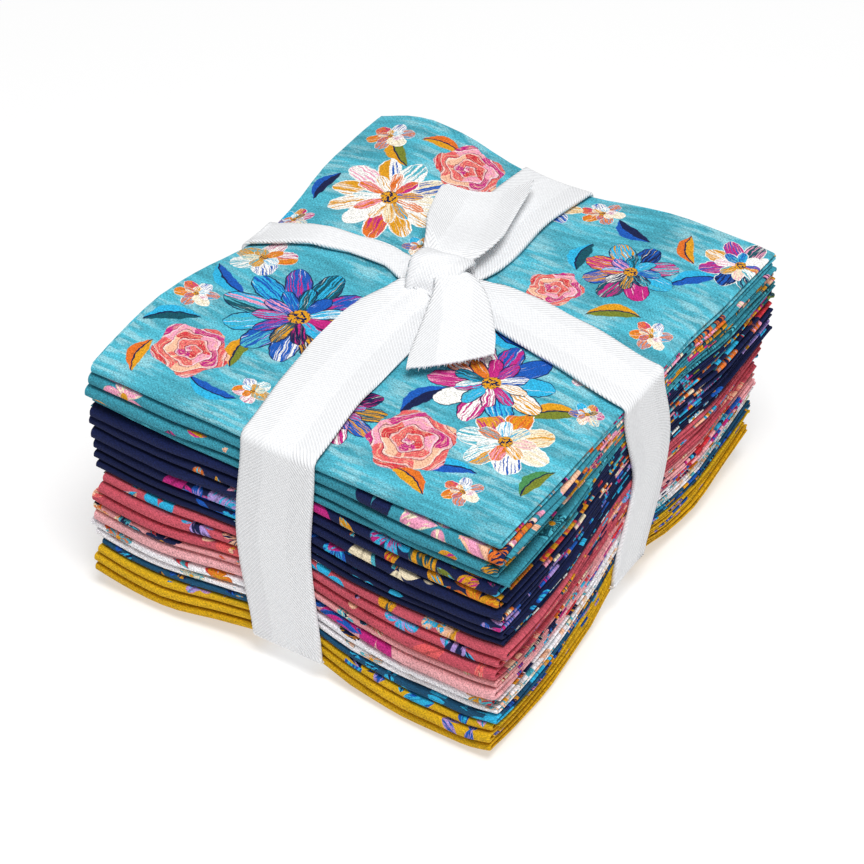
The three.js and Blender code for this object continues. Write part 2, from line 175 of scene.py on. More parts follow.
def closed_sheet(
    name: str, front: np.ndarray, back: np.ndarray, cloth: np.ndarray, bake: np.ndarray
) -> bpy.types.Object:
    """Makes a thin closed sheet from the grids of its two faces.

    Args:
        name: The piece's name.
        front: Points of the printed face, rows x columns x 3, in mm.
        back: Points of the other face.
        cloth: Flat cloth coordinates of the grid, rows x columns x 2, in mm.
        bake: Places of the grid on the front's half of the bake map, from 0 to 1.

    Returns:
        The new object, in metres.
    """
    rows, columns = front.shape[:2]
    count = rows * columns
    grids, rim, ring = sheet_faces(rows, columns)
    faces = np.concatenate([grids, rim])
    points = np.concatenate([front.reshape(-1, 3), back.reshape(-1, 3)]) * MM
    corners = points[faces]
    if np.einsum("ij,ij->i", corners[:, 0], np.cross(corners[:, 1], corners[:, 2])).sum() < 0:
        faces = faces[:, ::-1]
    mesh = bpy.data.meshes.new(name)
    mesh.vertices.add(len(points))
    mesh.vertices.foreach_set("co", points.ravel())
    mesh.loops.add(faces.size)
    mesh.loops.foreach_set("vertex_index", faces.ravel())
    mesh.polygons.add(len(faces))
    mesh.polygons.foreach_set("loop_start", np.arange(0, faces.size, 4))
    mesh.polygons.foreach_set("use_smooth", np.ones(len(faces), bool))
    flat = np.concatenate([cloth.reshape(-1, 2)] * 2) * MM
    mesh.uv_layers.new(name="Cloth").data.foreach_set("uv", flat[faces].ravel())
    half = bake.reshape(-1, 2) * BAKE_SIZE + BAKE_CORNER
    spread = np.concatenate([half, half + BAKE_OTHER])[faces]
    spread[-len(rim):] = half[faces[-len(rim):] % count]
    mesh.uv_layers.new(name="OFBake").data.foreach_set("uv", spread.ravel())
    mesh.update(calc_edges=True)
    sharpen_outline(mesh, ring, count)
    mesh.validate()
    return placed(name, mesh)


# ---- The tied shape ----------------------------------------------------------------------------


@dataclass(frozen=True)
class Edge:
    """How far one edge of a face is drawn in: pairs of a place along it and a depth, in mm."""

    depths: tuple[tuple[float, float], ...]

    def at(self, along: np.ndarray) -> np.ndarray:
        """The depth at places along the edge."""
        return through(*zip(*self.depths), along)


@dataclass(frozen=True)
class Face:
    """How far the ribbon and handling draw in one face of the bundle, in mm."""

    recess: float
    front: Edge
    back: Edge
    left: Edge
    right: Edge


TOP = Face(
    recess=0.5,
    front=Edge(((-66, 1.0), (-40, 0.3), (-18, 1.2), (-5, 1.6), (10, 1.5), (35, 0.3), (66, 0.4))),
    back=Edge((
        (-66, 1.6), (-56, -0.7), (-42, -0.5), (-30, -0.2), (-18, 1.7), (-5, 3.9), (8, 3.1),
        (20, 1.1), (42, 1.1), (66, 1.0),
    )),
    left=Edge((
        (-76, -0.4), (-64, -1.5), (-50, -2.0), (-35, -2.6), (-20, -0.6), (-6, 3.6), (6, 7.2),
        (22, 6.4), (34, 4.0), (46, 3.8), (76, 2.8),
    )),
    right=Edge((
        (-76, 0.1), (-50, 0.2), (-30, 1.2), (-12, 2.7), (10, 2.9), (25, 2.5), (45, 0.8),
        (76, 0.2),
    )),
)
BOTTOM = Face(
    recess=1.3,
    front=Edge((
        (-66, 3.2), (-54, 2.4), (-30, 3.6), (-18, 4.8), (-5, 8.0), (8, 6.0), (16, 2.2),
        (30, 1.2), (48, 1.2), (60, 0.9), (66, 2.2),
    )),
    back=Edge(((-66, 4.0), (-40, 1.0), (-5, 4.5), (40, 1.0), (66, 3.0))),
    left=Edge(((-76, 2.4), (-45, 0.8), (5, 4.5), (45, 1.0), (76, 3.0))),
    right=Edge((
        (-76, 1.6), (-62, 0.8), (-44, 1.5), (-26, 2.2), (-18, 3.0), (-8, 8.8), (3, 13.0),
        (14, 10.6), (24, 6.2), (38, 5.0), (52, 7.4), (76, 10.0),
    )),
)


@dataclass(frozen=True)
class TiedShape:
    """The smooth shape of the tied stack, on the same lines as its solids."""

    stack: float
    x_lines: tuple[float, ...] = (-PANEL / 2, -44.0, -18.0, 12.0, 41.0, PANEL / 2)
    y_lines: tuple[float, ...] = (-THIRD / 2, -49.0, -12.0, 25.0, 49.0, THIRD / 2)
    droop: float = 1.4

    def shares(self, lines: tuple[float, ...], at: np.ndarray) -> tuple[np.ndarray, np.ndarray, np.ndarray]:
        """Weights of a place along one axis.

        Args:
            lines: The six bend lines of the axis.
            at: Places along it, in mm.

        Returns:
            The share of the ribbon's band, of the low edge and of the high edge.
        """
        rise = ease((at - lines[1]) / (lines[2] - lines[1]))
        fall = ease((at - lines[3]) / (lines[4] - lines[3]))
        low = np.clip((lines[1] - at) / (lines[1] - lines[0]), 0.0, 1.2) ** self.droop
        high = np.clip((at - lines[4]) / (lines[5] - lines[4]), 0.0, 1.2) ** self.droop
        return rise * (1.0 - fall), low, high

    def tied_x(self, x: np.ndarray) -> np.ndarray:
        """The share of the band that runs along Y, at places along X."""
        return self.shares(self.x_lines, x)[0]

    def tied_y(self, y: np.ndarray) -> np.ndarray:
        """The share of the band that runs along X, at places along Y."""
        return self.shares(self.y_lines, y)[0]

    def drawn_in(self, x: np.ndarray, y: np.ndarray, face: Face) -> np.ndarray:
        """How far a face is drawn in at places of the plan.

        Args:
            x: Places along X in mm.
            y: Places along Y in mm.
            face: The face's own amounts.

        Returns:
            Depths in mm.
        """
        band_x, left, right = self.shares(self.x_lines, x)
        band_y, front, back = self.shares(self.y_lines, y)
        return (
            face.recess * (1 - (1 - band_x) * (1 - band_y))
            + front * face.front.at(x) + back * face.back.at(x)
            + left * face.left.at(y) + right * face.right.at(y)
        )

    def top_at(self, x: np.ndarray, y: np.ndarray) -> np.ndarray:
        """Height of the top surface in mm."""
        return self.stack - self.drawn_in(x, y, TOP)

    def bottom_at(self, x: np.ndarray, y: np.ndarray) -> np.ndarray:
        """Height of the underside in mm."""
        return self.drawn_in(x, y, BOTTOM)

    def lift(self, x: np.ndarray, y: np.ndarray, height: np.ndarray) -> np.ndarray:
        """Carries heights in the square stack into the tied shape.

        Args:
            x: Places along X in mm.
            y: Places along Y in mm.
            height: Heights in the square stack, in mm.

        Returns:
            Real heights in mm.
        """
        low = self.bottom_at(x, y)
        return low + (self.top_at(x, y) - low) * height / self.stack


# ---- Shader tools ------------------------------------------------------------------------------


def ink(code: str) -> tuple[float, float, float, float]:
    """Turns a web colour into a shader's.

    Args:
        code: The colour's code, such as 4fa9b4.

    Returns:
        The linear colour.
    """
    parts = [int(code[i:i + 2], 16) / 255 for i in (0, 2, 4)]
    linear = [p / 12.92 if p <= 0.04045 else ((p + 0.055) / 1.055) ** 2.4 for p in parts]
    return (*linear, 1.0)


class Signal:
    """A shader socket with a number that varies, for use in Python expressions."""

    def __init__(self, desk: "Desk", socket: Socket) -> None:
        """Keeps the socket and the material's desk."""
        self.desk = desk
        self.socket = socket

    def __add__(self, other: "Signal | float") -> "Signal":
        """Sum."""
        return self.desk.math("ADD", self, other)

    def __sub__(self, other: "Signal | float") -> "Signal":
        """Difference."""
        return self.desk.math("SUBTRACT", self, other)

    def __rsub__(self, other: float) -> "Signal":
        """Difference from a number."""
        return self.desk.math("SUBTRACT", other, self)

    def __mul__(self, other: "Signal | float") -> "Signal":
        """Product."""
        return self.desk.math("MULTIPLY", self, other)

    def __truediv__(self, other: "Signal | float") -> "Signal":
        """Quotient."""
        return self.desk.math("DIVIDE", self, other)

    def __pow__(self, other: float) -> "Signal":
        """Power."""
        return self.desk.math("POWER", self, other)

    def __lt__(self, other: "Signal | float") -> "Signal":
        """1 where this is the smaller."""
        return self.desk.math("LESS_THAN", self, other)

    def __gt__(self, other: "Signal | float") -> "Signal":
        """1 where this is the larger."""
        return self.desk.math("GREATER_THAN", self, other)

    def __abs__(self) -> "Signal":
        """Size without sign."""
        return self.desk.math("ABSOLUTE", self)

    __radd__ = __add__
    __rmul__ = __mul__


class Desk:
    """Lays out the nodes of one material."""

    def __init__(self, name: str) -> None:
        """Starts an empty material.

        Args:
            name: The material's name.
        """
        self.material = bpy.data.materials.new(name)
        self.material.use_nodes = True
        self.tree = self.material.node_tree
        self.tree.nodes.clear()

    def node(self, kind: str, settings: dict | None = None, **inputs: object) -> bpy.types.Node:
        """Adds a node.

        Args:
            kind: The node's type without the ShaderNode prefix.
            settings: Its own properties, and the stops of a stepped ramp, which are set first.
            inputs: Values or links of its sockets, by name with _ for a space, or i0, i1 by number.

        Returns:
            The node.
        """
        made = self.tree.nodes.new("ShaderNode" + kind)
        for key, value in (settings or {}).items():
            if key == "stops":
                ramp = made.color_ramp
                ramp.interpolation = "CONSTANT"
                while len(ramp.elements) < len(value):
                    ramp.elements.new(1.0)
                for element, (place, colour) in zip(ramp.elements, value):
                    element.position, element.color = place, colour
            else:
                setattr(made, key, value)
        for key, value in inputs.items():
            numbered = key[0] == "i" and key[1:].isdigit()
            socket = made.inputs[int(key[1:]) if numbered else key.replace("_", " ")]
            if isinstance(value, Signal):
                value = value.socket
            if isinstance(value, Socket):
                self.tree.links.new(value, socket)
            else:
                socket.default_value = value
        return made

    def math(self, operation: str, *values: "Signal | float") -> Signal:
        """Adds a Math node.

        Args:
            operation: Its operation.
            values: Its inputs, in order.

        Returns:
            The result.
        """
        inputs = {f"i{i}": value for i, value in enumerate(values)}
        return Signal(self, self.node("Math", {"operation": operation}, **inputs).outputs[0])

    def wave(self, value: Signal, pitch: float) -> Signal:
        """A sine wave, from -1 to 1, that repeats at a pitch."""
        return self.math("SINE", value * (2 * math.pi / pitch))

    def between(self, value: Signal, low: float, high: float, start: float = 0.0, end: float = 1.0) -> Signal:
        """Smooth step of a value from one range to another.

        Args:
            value: The value.
            low: Where the step starts.
            high: Where it ends.
            start: The result at the start.
            end: The result at the end.

        Returns:
            The eased value.
        """
        settings = {"interpolation_type": "SMOOTHSTEP"}
        made = self.node("MapRange", settings, i0=value, i1=low, i2=high, i3=start, i4=end)
        return Signal(self, made.outputs[0])

    def mix(self, share: Signal | float, first: object, second: object) -> Socket:
        """Mixes two colours.

        Args:
            share: The second colour's share.
            first: A colour or a socket.
            second: A colour or a socket.

        Returns:
            The mixed colour's socket.
        """
        return self.node("Mix", {"data_type": "RGBA"}, i0=share, i6=first, i7=second).outputs[2]

    def pick(self, share: Signal, first: object, second: object) -> Socket:
        """Mixes two vectors in the way that mix does two colours."""
        return self.node("Mix", {"data_type": "VECTOR"}, i0=share, i4=first, i5=second).outputs[1]

    def vector(self, operation: str, **inputs: object) -> Socket:
        """Adds a Vector Math node and gives its vector."""
        return self.node("VectorMath", {"operation": operation}, **inputs).outputs[0]

    def joined(self, x: Signal | float, y: Signal | float, z: Signal | float = 0.0) -> Socket:
        """A vector of three numbers."""
        return self.node("CombineXYZ", {}, X=x, Y=y, Z=z).outputs[0]

    def tint(self, colour: object, by: Signal) -> Socket:
        """A colour multiplied by a number that varies, as a Vector Math node.

        Args:
            colour: The colour or socket.
            by: The number.

        Returns:
            The scaled colour's socket.
        """
        return self.vector("SCALE", i0=colour if isinstance(colour, Socket) else colour[:3], Scale=by)

    def ramp(self, at: Signal, inks: "tuple[Ink, ...]") -> Socket:
        """Reads a row of inks in equal steps.

        Args:
            at: From 0 to 1 along the row.
            inks: The inks.

        Returns:
            The colour's socket.
        """
        stops = [(i / len(inks), shade.paint) for i, shade in enumerate(inks)]
        return self.node("ValToRGB", {"stops": stops}, Fac=at).outputs[0]

    def noise(self, at: Socket, scale: float, detail: float = 2.0) -> Signal:
        """Adds a noise texture.

        Args:
            at: The socket of its coordinates.
            scale: Its scale.
            detail: Its octaves.

        Returns:
            The noise, about 0.5 in the middle.
        """
        return Signal(self, self.node("TexNoise", {}, Vector=at, Scale=scale, Detail=detail).outputs[0])

    def stretched(self, at: Socket, scale: tuple[float, float], place: tuple[float, float] = (0.0, 0.0),
                  turn: float = 0.0) -> Socket:
        """Flat coordinates scaled about a place and turned.

        Args:
            at: The socket of the coordinates.
            scale: The size of one unit along each axis.
            place: The new origin.
            turn: The angle in radians.

        Returns:
            The new coordinates' socket.
        """
        made = self.node("Mapping", {"vector_type": "TEXTURE"}, Vector=at, Location=(*place, 0.0),
                         Rotation=(0.0, 0.0, turn), Scale=(*scale, 1.0))
        return made.outputs[0]

    def parts(self, vector: Socket) -> tuple[Signal, Signal, Signal]:
        """The three numbers of a vector."""
        made = self.node("SeparateXYZ", {}, Vector=vector)
        return tuple(Signal(self, made.outputs[i]) for i in range(3))

    def cloth_map(self) -> Socket:
        """Flat cloth coordinates in mm."""
        return self.vector("SCALE", i0=self.node("UVMap", {"uv_map": "Cloth"}).outputs[0], Scale=1 / MM)

    def finish(self, colour: Socket, bump: Signal, depth: float, roughness: float,
               sheen: float) -> bpy.types.Material:
        """Adds the cloth shader.

        Args:
            colour: The base colour's socket.
            bump: Height from 0 to 1.
            depth: The height of 1 in metres.
            roughness: The roughness.
            sheen: The sheen's weight.

        Returns:
            The finished material.
        """
        normal = self.node("Bump", {}, Strength=0.7, Distance=depth, Height=bump).outputs[0]
        shader = self.node("BsdfPrincipled", {}, Base_Color=colour, Roughness=roughness, Normal=normal,
                           Sheen_Weight=sheen, Sheen_Roughness=0.5, Specular_IOR_Level=0.15)
        self.node("OutputMaterial", {}, Surface=shader.outputs[0])
        return self.material


# ---- Printed cotton ----------------------------------------------------------------------------


class Ink(Enum):
    """The colours of the prints."""

    WHITE = "f5f4ef"
    CREAM = "efe0c0"
    PEACH = "f0bb9c"
    MUSTARD = "dc9a1e"
    ORANGE = "dd6f27"
    RED = "cf3540"
    CORAL = "df5d5f"
    PINK = "ee9dbb"
    MAGENTA = "c0287e"
    LILAC = "a98fd0"
    COBALT = "1a58b4"
    CYAN = "2fb0dc"
    TEAL = "4fb0c2"
    DARK_TEAL = "12505f"
    NAVY = "16204a"
    OLIVE = "76812b"
    GREEN = "4a8c52"

    @property
    def paint(self) -> tuple[float, float, float, float]:
        """The colour for a shader."""
        return ink(self.value)


@dataclass(frozen=True)
class PlainWeave:
    """The plain weave of quilting cotton: the pitch of its threads both ways and of its ribs, in mm."""

    warp: float = 0.62
    weft: float = 0.66
    rib: float = 1.25
    depth: float = 0.00014
    roughness: float = 0.88
    sheen: float = 0.03

    def threads(self, desk: Desk, at: Socket) -> tuple[Signal, Signal]:
        """Draws the threads.

        Args:
            desk: The material's desk.
            at: Flat cloth coordinates in mm.

        Returns:
            A speckle about 1 for the colour, and the height of the threads for the bump.
        """
        x, y, _ = desk.parts(at)
        threads = desk.wave(x, self.warp) * desk.wave(y, self.weft)
        ribs = desk.wave(x + y, self.rib)
        slub = desk.noise(desk.stretched(at, (1.6, 0.4)), 1.0, 1.0)
        cross = desk.noise(desk.stretched(at, (0.4, 1.6)), 1.0, 1.0)
        grain = desk.noise(at, 2.3, 1.0)
        rough = slub * 0.5 + cross * 0.5 + grain * 1.1 - 1.05
        speckle = 1.0 + threads * 0.14 + ribs * 0.05 + rough * 1.25
        return speckle, threads * 0.35 + ribs * 0.15 + rough * 0.9 + 0.5


@dataclass(frozen=True)
class Cotton:
    """A printed quilting cotton with scattered flowers and leaves.

    Attributes:
        ground: The ground's colour code.
        inks: The motifs' inks.
        cover: The share of the cells that hold a motif.
        size: The size of a flower's cell in mm.
        seed: Moves the motifs.
        crowds: Where they crowd along the front fold: the middle and half length of each place in mm.
        crowded: The cover there.
        ends: The cover where the cloth's other panels show, at the ends of the plies.
        weave: The cloth under the print.
    """

    ground: str
    inks: tuple[Ink, ...] = ()
    cover: float = 0.1
    size: float = 17.0
    seed: float = 0.0
    crowds: tuple[tuple[float, float], ...] = ()
    crowded: float = 0.85
    ends: float = 0.6
    weave: PlainWeave = PlainWeave()

    def cell(self, desk: Desk, at: Socket, size: float, seed: float) -> tuple[Signal, ...]:
        """Divides the cloth into loose cells.

        Args:
            desk: The material's desk.
            at: Flat cloth coordinates in mm.
            size: The cells' size in mm.
            seed: Moves the cells.

        Returns:
            The place within the cell, turned its own way, in cells, three dice, and the cell's place along
            the front fold in mm.
        """
        start = (seed * 13.7, seed * 7.3)
        moved = desk.stretched(at, (size, size), start)
        flat = {"voronoi_dimensions": "2D"}
        cells = desk.node("TexVoronoi", flat, Vector=moved, Scale=1.0, Randomness=0.75)
        dice = desk.parts(cells.outputs["Color"])
        u, v, _ = desk.parts(desk.vector("SUBTRACT", i0=moved, i1=cells.outputs["Position"]))
        angle = dice[0] * (2 * math.pi)
        sine, cosine = desk.math("SINE", angle), desk.math("COSINE", angle)
        place = desk.parts(cells.outputs["Position"])[0] * size + (start[0] - PANEL / 2)
        return (u * cosine + v * sine, v * cosine - u * sine, *dice, place)

    def chosen(self, desk: Desk, chance: Signal, place: Signal, share: float) -> Signal:
        """Whether a cell is painted.

        Args:
            desk: The material's desk.
            chance: The cell's die.
            place: The cell's place along the front fold, which runs on over the other panels.
            share: Scales the cover.

        Returns:
            1 for a painted cell.
        """
        other_panels = place > PANEL / 2 - 5.0
        cover = self.cover + other_panels * (self.ends - self.cover)
        for middle, half in self.crowds:
            cover = desk.math("MAXIMUM", cover, (abs(place - middle) < half) * self.crowded)
        return chance < cover * share

    def two_inks(self, desk: Desk, roll: Signal, strokes: Socket) -> Socket:
        """Brush strokes of two of the print's colours.

        Args:
            desk: The material's desk.
            roll: Picks the colours.
            strokes: The vector that the strokes are drawn on.

        Returns:
            The colour's socket.
        """
        first = desk.ramp(roll, self.inks)
        second = desk.ramp(desk.math("FRACT", roll * 2.7 + 0.45), self.inks)
        return desk.mix(desk.between(desk.noise(strokes, 3.0), 0.5, 0.56), first, second)

    def flowers(self, desk: Desk, at: Socket, colour: Socket, size: float, seed: float,
                share: float) -> Socket:
        """Paints small five-petalled flowers.

        Args:
            desk: The material's desk.
            at: Flat cloth coordinates in mm.
            colour: What lies under them.
            size: The cells' size in mm.
            seed: Moves the cells.
            share: Scales the print's cover.

        Returns:
            The new colour's socket.
        """
        u, v, _, chance, roll, place = self.cell(desk, at, size, seed)
        radius = desk.math("SQRT", u * u + v * v)
        angle = desk.math("ARCTAN2", v, u)
        lobe = abs(desk.math("COSINE", angle * 2.5)) ** 0.6
        edge = (0.13 + lobe * 0.3) * (0.75 + roll * 0.3) - radius
        strokes = desk.joined(angle * 2.2, radius * 2.0, roll * 9.0)
        body = desk.tint(self.two_inks(desk, roll, strokes), desk.between(edge, 0.0, 0.05, 0.7, 1.0))
        body = desk.mix(desk.between(radius, 0.05, 0.07, 1.0, 0.0), body, Ink.MUSTARD.paint)
        shown = desk.between(edge, 0.0, 0.02) * self.chosen(desk, chance, place, share)
        return desk.mix(shown, colour, body)

    def leaves(self, desk: Desk, at: Socket, colour: Socket, size: float, seed: float,
               share: float) -> Socket:
        """Paints one leaf in each cell of a loose grid.

        Args:
            desk: The material's desk.
            at: Flat cloth coordinates in mm.
            colour: What lies under them.
            size: The cells' size in mm.
            seed: Moves the cells.
            share: Scales the print's cover.

        Returns:
            The new colour's socket.
        """
        along, across, chance, bend, roll, place = self.cell(desk, at, size, seed)
        bent = across + along * along * (bend - 0.5) * 1.6
        edge = (0.22 - along * along * 1.05) * (0.7 + roll * 0.4) - abs(bent)
        strokes = desk.joined(along * 0.8, bent * 5.0, chance * 9.0)
        body = desk.tint(self.two_inks(desk, roll, strokes), desk.between(abs(bent), 0.01, 0.03, 0.65, 1.0))
        shown = desk.between(edge, 0.0, 0.02) * self.chosen(desk, chance, place, share)
        return desk.mix(shown, colour, body)

    def painted(self, desk: Desk, at: Socket) -> Socket:
        """The print's colour.

        Args:
            desk: The material's desk.
            at: Flat cloth coordinates in mm.

        Returns:
            The colour's socket.
        """
        brushed = desk.noise(desk.stretched(at, (19.0, 3.4)), 1.0, 3.0)
        colour = desk.tint(ink(self.ground), desk.between(brushed, 0.25, 0.75, 0.88, 1.1))
        if self.inks:
            colour = self.leaves(desk, at, colour, self.size * 0.5, self.seed + 5.0, 1.0)
            colour = self.flowers(desk, at, colour, self.size, self.seed + 1.0, 1.0)
            colour = self.leaves(desk, at, colour, self.size * 0.9, self.seed + 9.0, 0.9)
        return colour

    def material(self, name: str) -> bpy.types.Material:
        """Makes the cloth's material.

        Args:
            name: Its name.

        Returns:
            The material.
        """
        desk = Desk(name)
        at = desk.cloth_map()
        speckle, threads = self.weave.threads(desk, at)
        colour = desk.tint(self.painted(desk, at), speckle)
        return desk.finish(colour, threads, self.weave.depth, self.weave.roughness, self.weave.sheen)


@dataclass(frozen=True)
class Bloom:
    """A flower of the large print.

    Attributes:
        x: Its middle along X in mm.
        y: The same along Y.
        radius: Its radius in mm.
        turn: Its turn in degrees.
        petals: How many petals a ring has.
        paleness: The share of them in pale inks.
        rosette: Whether its petals are wound round the middle.
    """

    x: float
    y: float
    radius: float
    turn: float
    petals: int
    paleness: float = 0.0
    rosette: bool = False


@dataclass(frozen=True)
class Leaf:
    """A leaf of the large print: its middle, length and width in mm, turn in degrees and two inks."""

    x: float
    y: float
    length: float
    width: float
    turn: float
    body: Ink
    vein: Ink


LARGE_BLOOMS = (
    Bloom(-31, -27, 24, 10, 11),
    Bloom(-47, -57, 12, 60, 6, rosette=True),
    Bloom(-57, -8, 11, 200, 5, paleness=1.0),
    Bloom(-40, 36, 21, -60, 11, paleness=1.0),
    Bloom(-27, 63, 12, 30, 6, rosette=True),
    Bloom(31, -22, 20, 40, 10, paleness=0.25),
    Bloom(25, -56, 14, 100, 6, rosette=True),
    Bloom(47, -42, 15, 70, 7, paleness=1.0),
    Bloom(38, 43, 15, 20, 8),
    Bloom(24, 26, 9, 0, 6, rosette=True),
    Bloom(62, 64, 13, 200, 8, paleness=0.7),
    Bloom(0, -56, 16, 0, 10),
    Bloom(-2, 62, 14, 0, 9, paleness=0.6),
)
SMALL_BLOOMS = (
    Bloom(-60, -36, 6.5, 0, 6, paleness=1.0),
    Bloom(-23, -62, 6.0, 30, 5, paleness=1.0),
    Bloom(-62, 16, 6.5, 0, 6, paleness=0.6),
    Bloom(-56, 64, 7.5, 0, 6, paleness=1.0),
    Bloom(-20, 22, 5.5, 0, 6, paleness=0.6),
    Bloom(16, 68, 7.0, 40, 6, paleness=1.0),
    Bloom(58, 22, 6.5, 0, 6, paleness=1.0),
    Bloom(60, -18, 5.5, 0, 6, paleness=0.6),
    Bloom(48, -66, 6.0, 20, 6, paleness=1.0),
    Bloom(52, -5, 5.0, 0, 5, paleness=1.0),
)
LEAVES = (
    Leaf(-58, -24, 19, 5.2, 150, Ink.COBALT, Ink.CYAN),
    Leaf(-36, -49, 17, 5.0, 95, Ink.OLIVE, Ink.MUSTARD),
    Leaf(-60, -48, 17, 5.0, 40, Ink.DARK_TEAL, Ink.CYAN),
    Leaf(-58, -67, 15, 4.6, 100, Ink.MUSTARD, Ink.ORANGE),
    Leaf(-33, -68, 17, 4.6, 175, Ink.COBALT, Ink.CYAN),
    Leaf(-44, 8, 17, 4.8, 20, Ink.OLIVE, Ink.MUSTARD),
    Leaf(-62, 34, 15, 4.6, 80, Ink.NAVY, Ink.COBALT),
    Leaf(-50, 58, 19, 5.0, 130, Ink.OLIVE, Ink.MUSTARD),
    Leaf(-18, 46, 17, 4.4, 60, Ink.DARK_TEAL, Ink.CYAN),
    Leaf(-40, 68, 14, 4.4, 5, Ink.MUSTARD, Ink.ORANGE),
    Leaf(18, -38, 19, 5.4, 70, Ink.NAVY, Ink.COBALT),
    Leaf(52, -24, 19, 5.4, 40, Ink.OLIVE, Ink.MUSTARD),
    Leaf(39, -60, 17, 5.0, 25, Ink.COBALT, Ink.CYAN),
    Leaf(33, -69, 16, 4.6, -20, Ink.MUSTARD, Ink.ORANGE),
    Leaf(62, -52, 15, 4.6, 80, Ink.OLIVE, Ink.GREEN),
    Leaf(24, -2, 17, 5.0, 160, Ink.COBALT, Ink.CYAN),
    Leaf(22, 44, 15, 5.0, 100, Ink.DARK_TEAL, Ink.CYAN),
    Leaf(44, 24, 17, 5.0, 30, Ink.OLIVE, Ink.MUSTARD),
    Leaf(54, 50, 16, 5.0, 50, Ink.COBALT, Ink.CYAN),
    Leaf(46, 62, 15, 4.4, 120, Ink.MUSTARD, Ink.ORANGE),
    Leaf(28, 62, 16, 4.4, 150, Ink.NAVY, Ink.COBALT),
)


@dataclass(frozen=True)
class Floral(Cotton):
    """The large print of the top cut: blooms, rosettes and leaves listed one by one on a brushed ground."""

    glaze: str = "a3d3da"
    rose_line: str = "7c1638"
    bright: tuple[Ink, ...] = (
        Ink.COBALT, Ink.CYAN, Ink.NAVY, Ink.MAGENTA, Ink.COBALT, Ink.DARK_TEAL, Ink.CYAN
    )
    pale: tuple[Ink, ...] = (Ink.WHITE, Ink.MUSTARD, Ink.WHITE, Ink.CREAM, Ink.WHITE, Ink.ORANGE)
    stroke: tuple[Ink, ...] = (Ink.CYAN, Ink.MUSTARD, Ink.PINK, Ink.WHITE, Ink.COBALT, Ink.TEAL, Ink.MAGENTA)
    rose: tuple[Ink, ...] = (Ink.CORAL, Ink.MAGENTA, Ink.PINK, Ink.RED, Ink.CORAL, Ink.PEACH)

    def nearest(self, desk: Desk, at: Socket, blooms: tuple[Bloom, ...]) -> tuple[Socket, Socket]:
        """Finds the flower that a place belongs to.

        Args:
            desk: The material's desk.
            at: Coordinates on the top face in mm.
            blooms: The flowers.

        Returns:
            Sockets of the place within the flower, one radius long, and of its petals and kind: the share
            of pale petals, or 2 for a rosette.
        """
        local = facts = closest = None
        for bloom in blooms:
            here = desk.stretched(at, (bloom.radius,) * 2, (bloom.x, bloom.y), math.radians(bloom.turn))
            told = (bloom.petals, 2.0 if bloom.rosette else bloom.paleness, 0.0)
            far = Signal(desk, desk.node("VectorMath", {"operation": "LENGTH"}, i0=here).outputs["Value"])
            if closest is None:
                local, facts, closest = here, desk.joined(*told), far
                continue
            nearer = far < closest
            local = desk.pick(nearer, local, here)
            facts = desk.pick(nearer, facts, told)
            closest = desk.math("MINIMUM", closest, far)
        return local, facts

    def ring(self, desk: Desk, radius: Signal, angle: Signal, count: Signal, kind: Signal, reach: float,
             turned: float) -> tuple[Signal, Socket]:
        """One ring of petals.

        Args:
            desk: The material's desk.
            radius: The place's distance from the flower's middle, in its radius.
            angle: The place's angle.
            count: How many petals the ring has.
            kind: 0 for bright inks and 1 for pale ones.
            reach: The ring's share of the flower's radius.
            turned: How far the ring is turned, in petals.

        Returns:
            The petals' mask and colour.
        """
        turns = angle * count / (2 * math.pi) + turned
        number = desk.math("FLOOR", turns)
        across = (turns - number - 0.5) * (2 * math.pi) / count * radius
        spot = desk.joined(number + reach * 7.0, count + kind * 3.0)
        dice = desk.node("TexWhiteNoise", {"noise_dimensions": "2D"}, Vector=spot)
        roll, second, third = desk.parts(dice.outputs["Color"])
        out = radius / ((0.87 + roll * 0.13) * reach)
        widest = desk.math("SQRT", desk.math("MAXIMUM", (out - 0.1) * (1.0 - out), 0.0))
        width = widest * (0.6 + out * 0.8) * (4.6 * reach) / (count + 1.0)
        edge = width - abs(across)
        streak = desk.noise(desk.joined(across * 34.0 / reach, out * 1.3, second * 20.0), 1.0)
        body = desk.mix(kind > third, desk.ramp(roll, self.bright), desk.ramp(roll, self.pale))
        body = desk.mix(desk.between(streak, 0.5, 0.58), body, desk.ramp(second, self.stroke))
        light = desk.between(streak, 0.3, 0.38, 1.0, 0.0) * desk.between(out, 0.25, 0.5) * 0.75
        body = desk.mix(light, body, Ink.WHITE.paint)
        outline = desk.mix(kind > 0.5, Ink.NAVY.paint, Ink.WHITE.paint)
        body = desk.mix(desk.between(edge, 0.02, 0.035, 1.0, 0.0), body, outline)
        return desk.between(edge, 0.0, 0.015), body

    def wound(self, desk: Desk, radius: Signal, angle: Signal) -> Socket:
        """A rosette's wound petals.

        Args:
            desk: The material's desk.
            radius: The place's distance from the flower's middle, in its radius.
            angle: The place's angle.

        Returns:
            The petals' colour.
        """
        wound = radius * (4.4 + 0.5 * desk.math("SINE", angle * 5.0 + radius * 6.0)) + angle / (2 * math.pi)
        ring = desk.math("FLOOR", wound)
        line = wound - ring
        fold = desk.math("FRACT", ring * 0.37 + desk.math("FLOOR", angle * 0.9 + ring * 1.7) * 0.23)
        brushed = desk.noise(desk.joined(angle * 1.5, wound * 4.0), 2.0)
        rose = desk.mix(desk.between(brushed, 0.52, 0.6) * 0.7, desk.ramp(fold, self.rose), Ink.PEACH.paint)
        rose = desk.mix(desk.between(line, 0.0, 0.14, 1.0, 0.0), rose, ink(self.rose_line))
        return desk.mix(desk.between(line, 0.72, 0.92) * 0.5, rose, Ink.WHITE.paint)

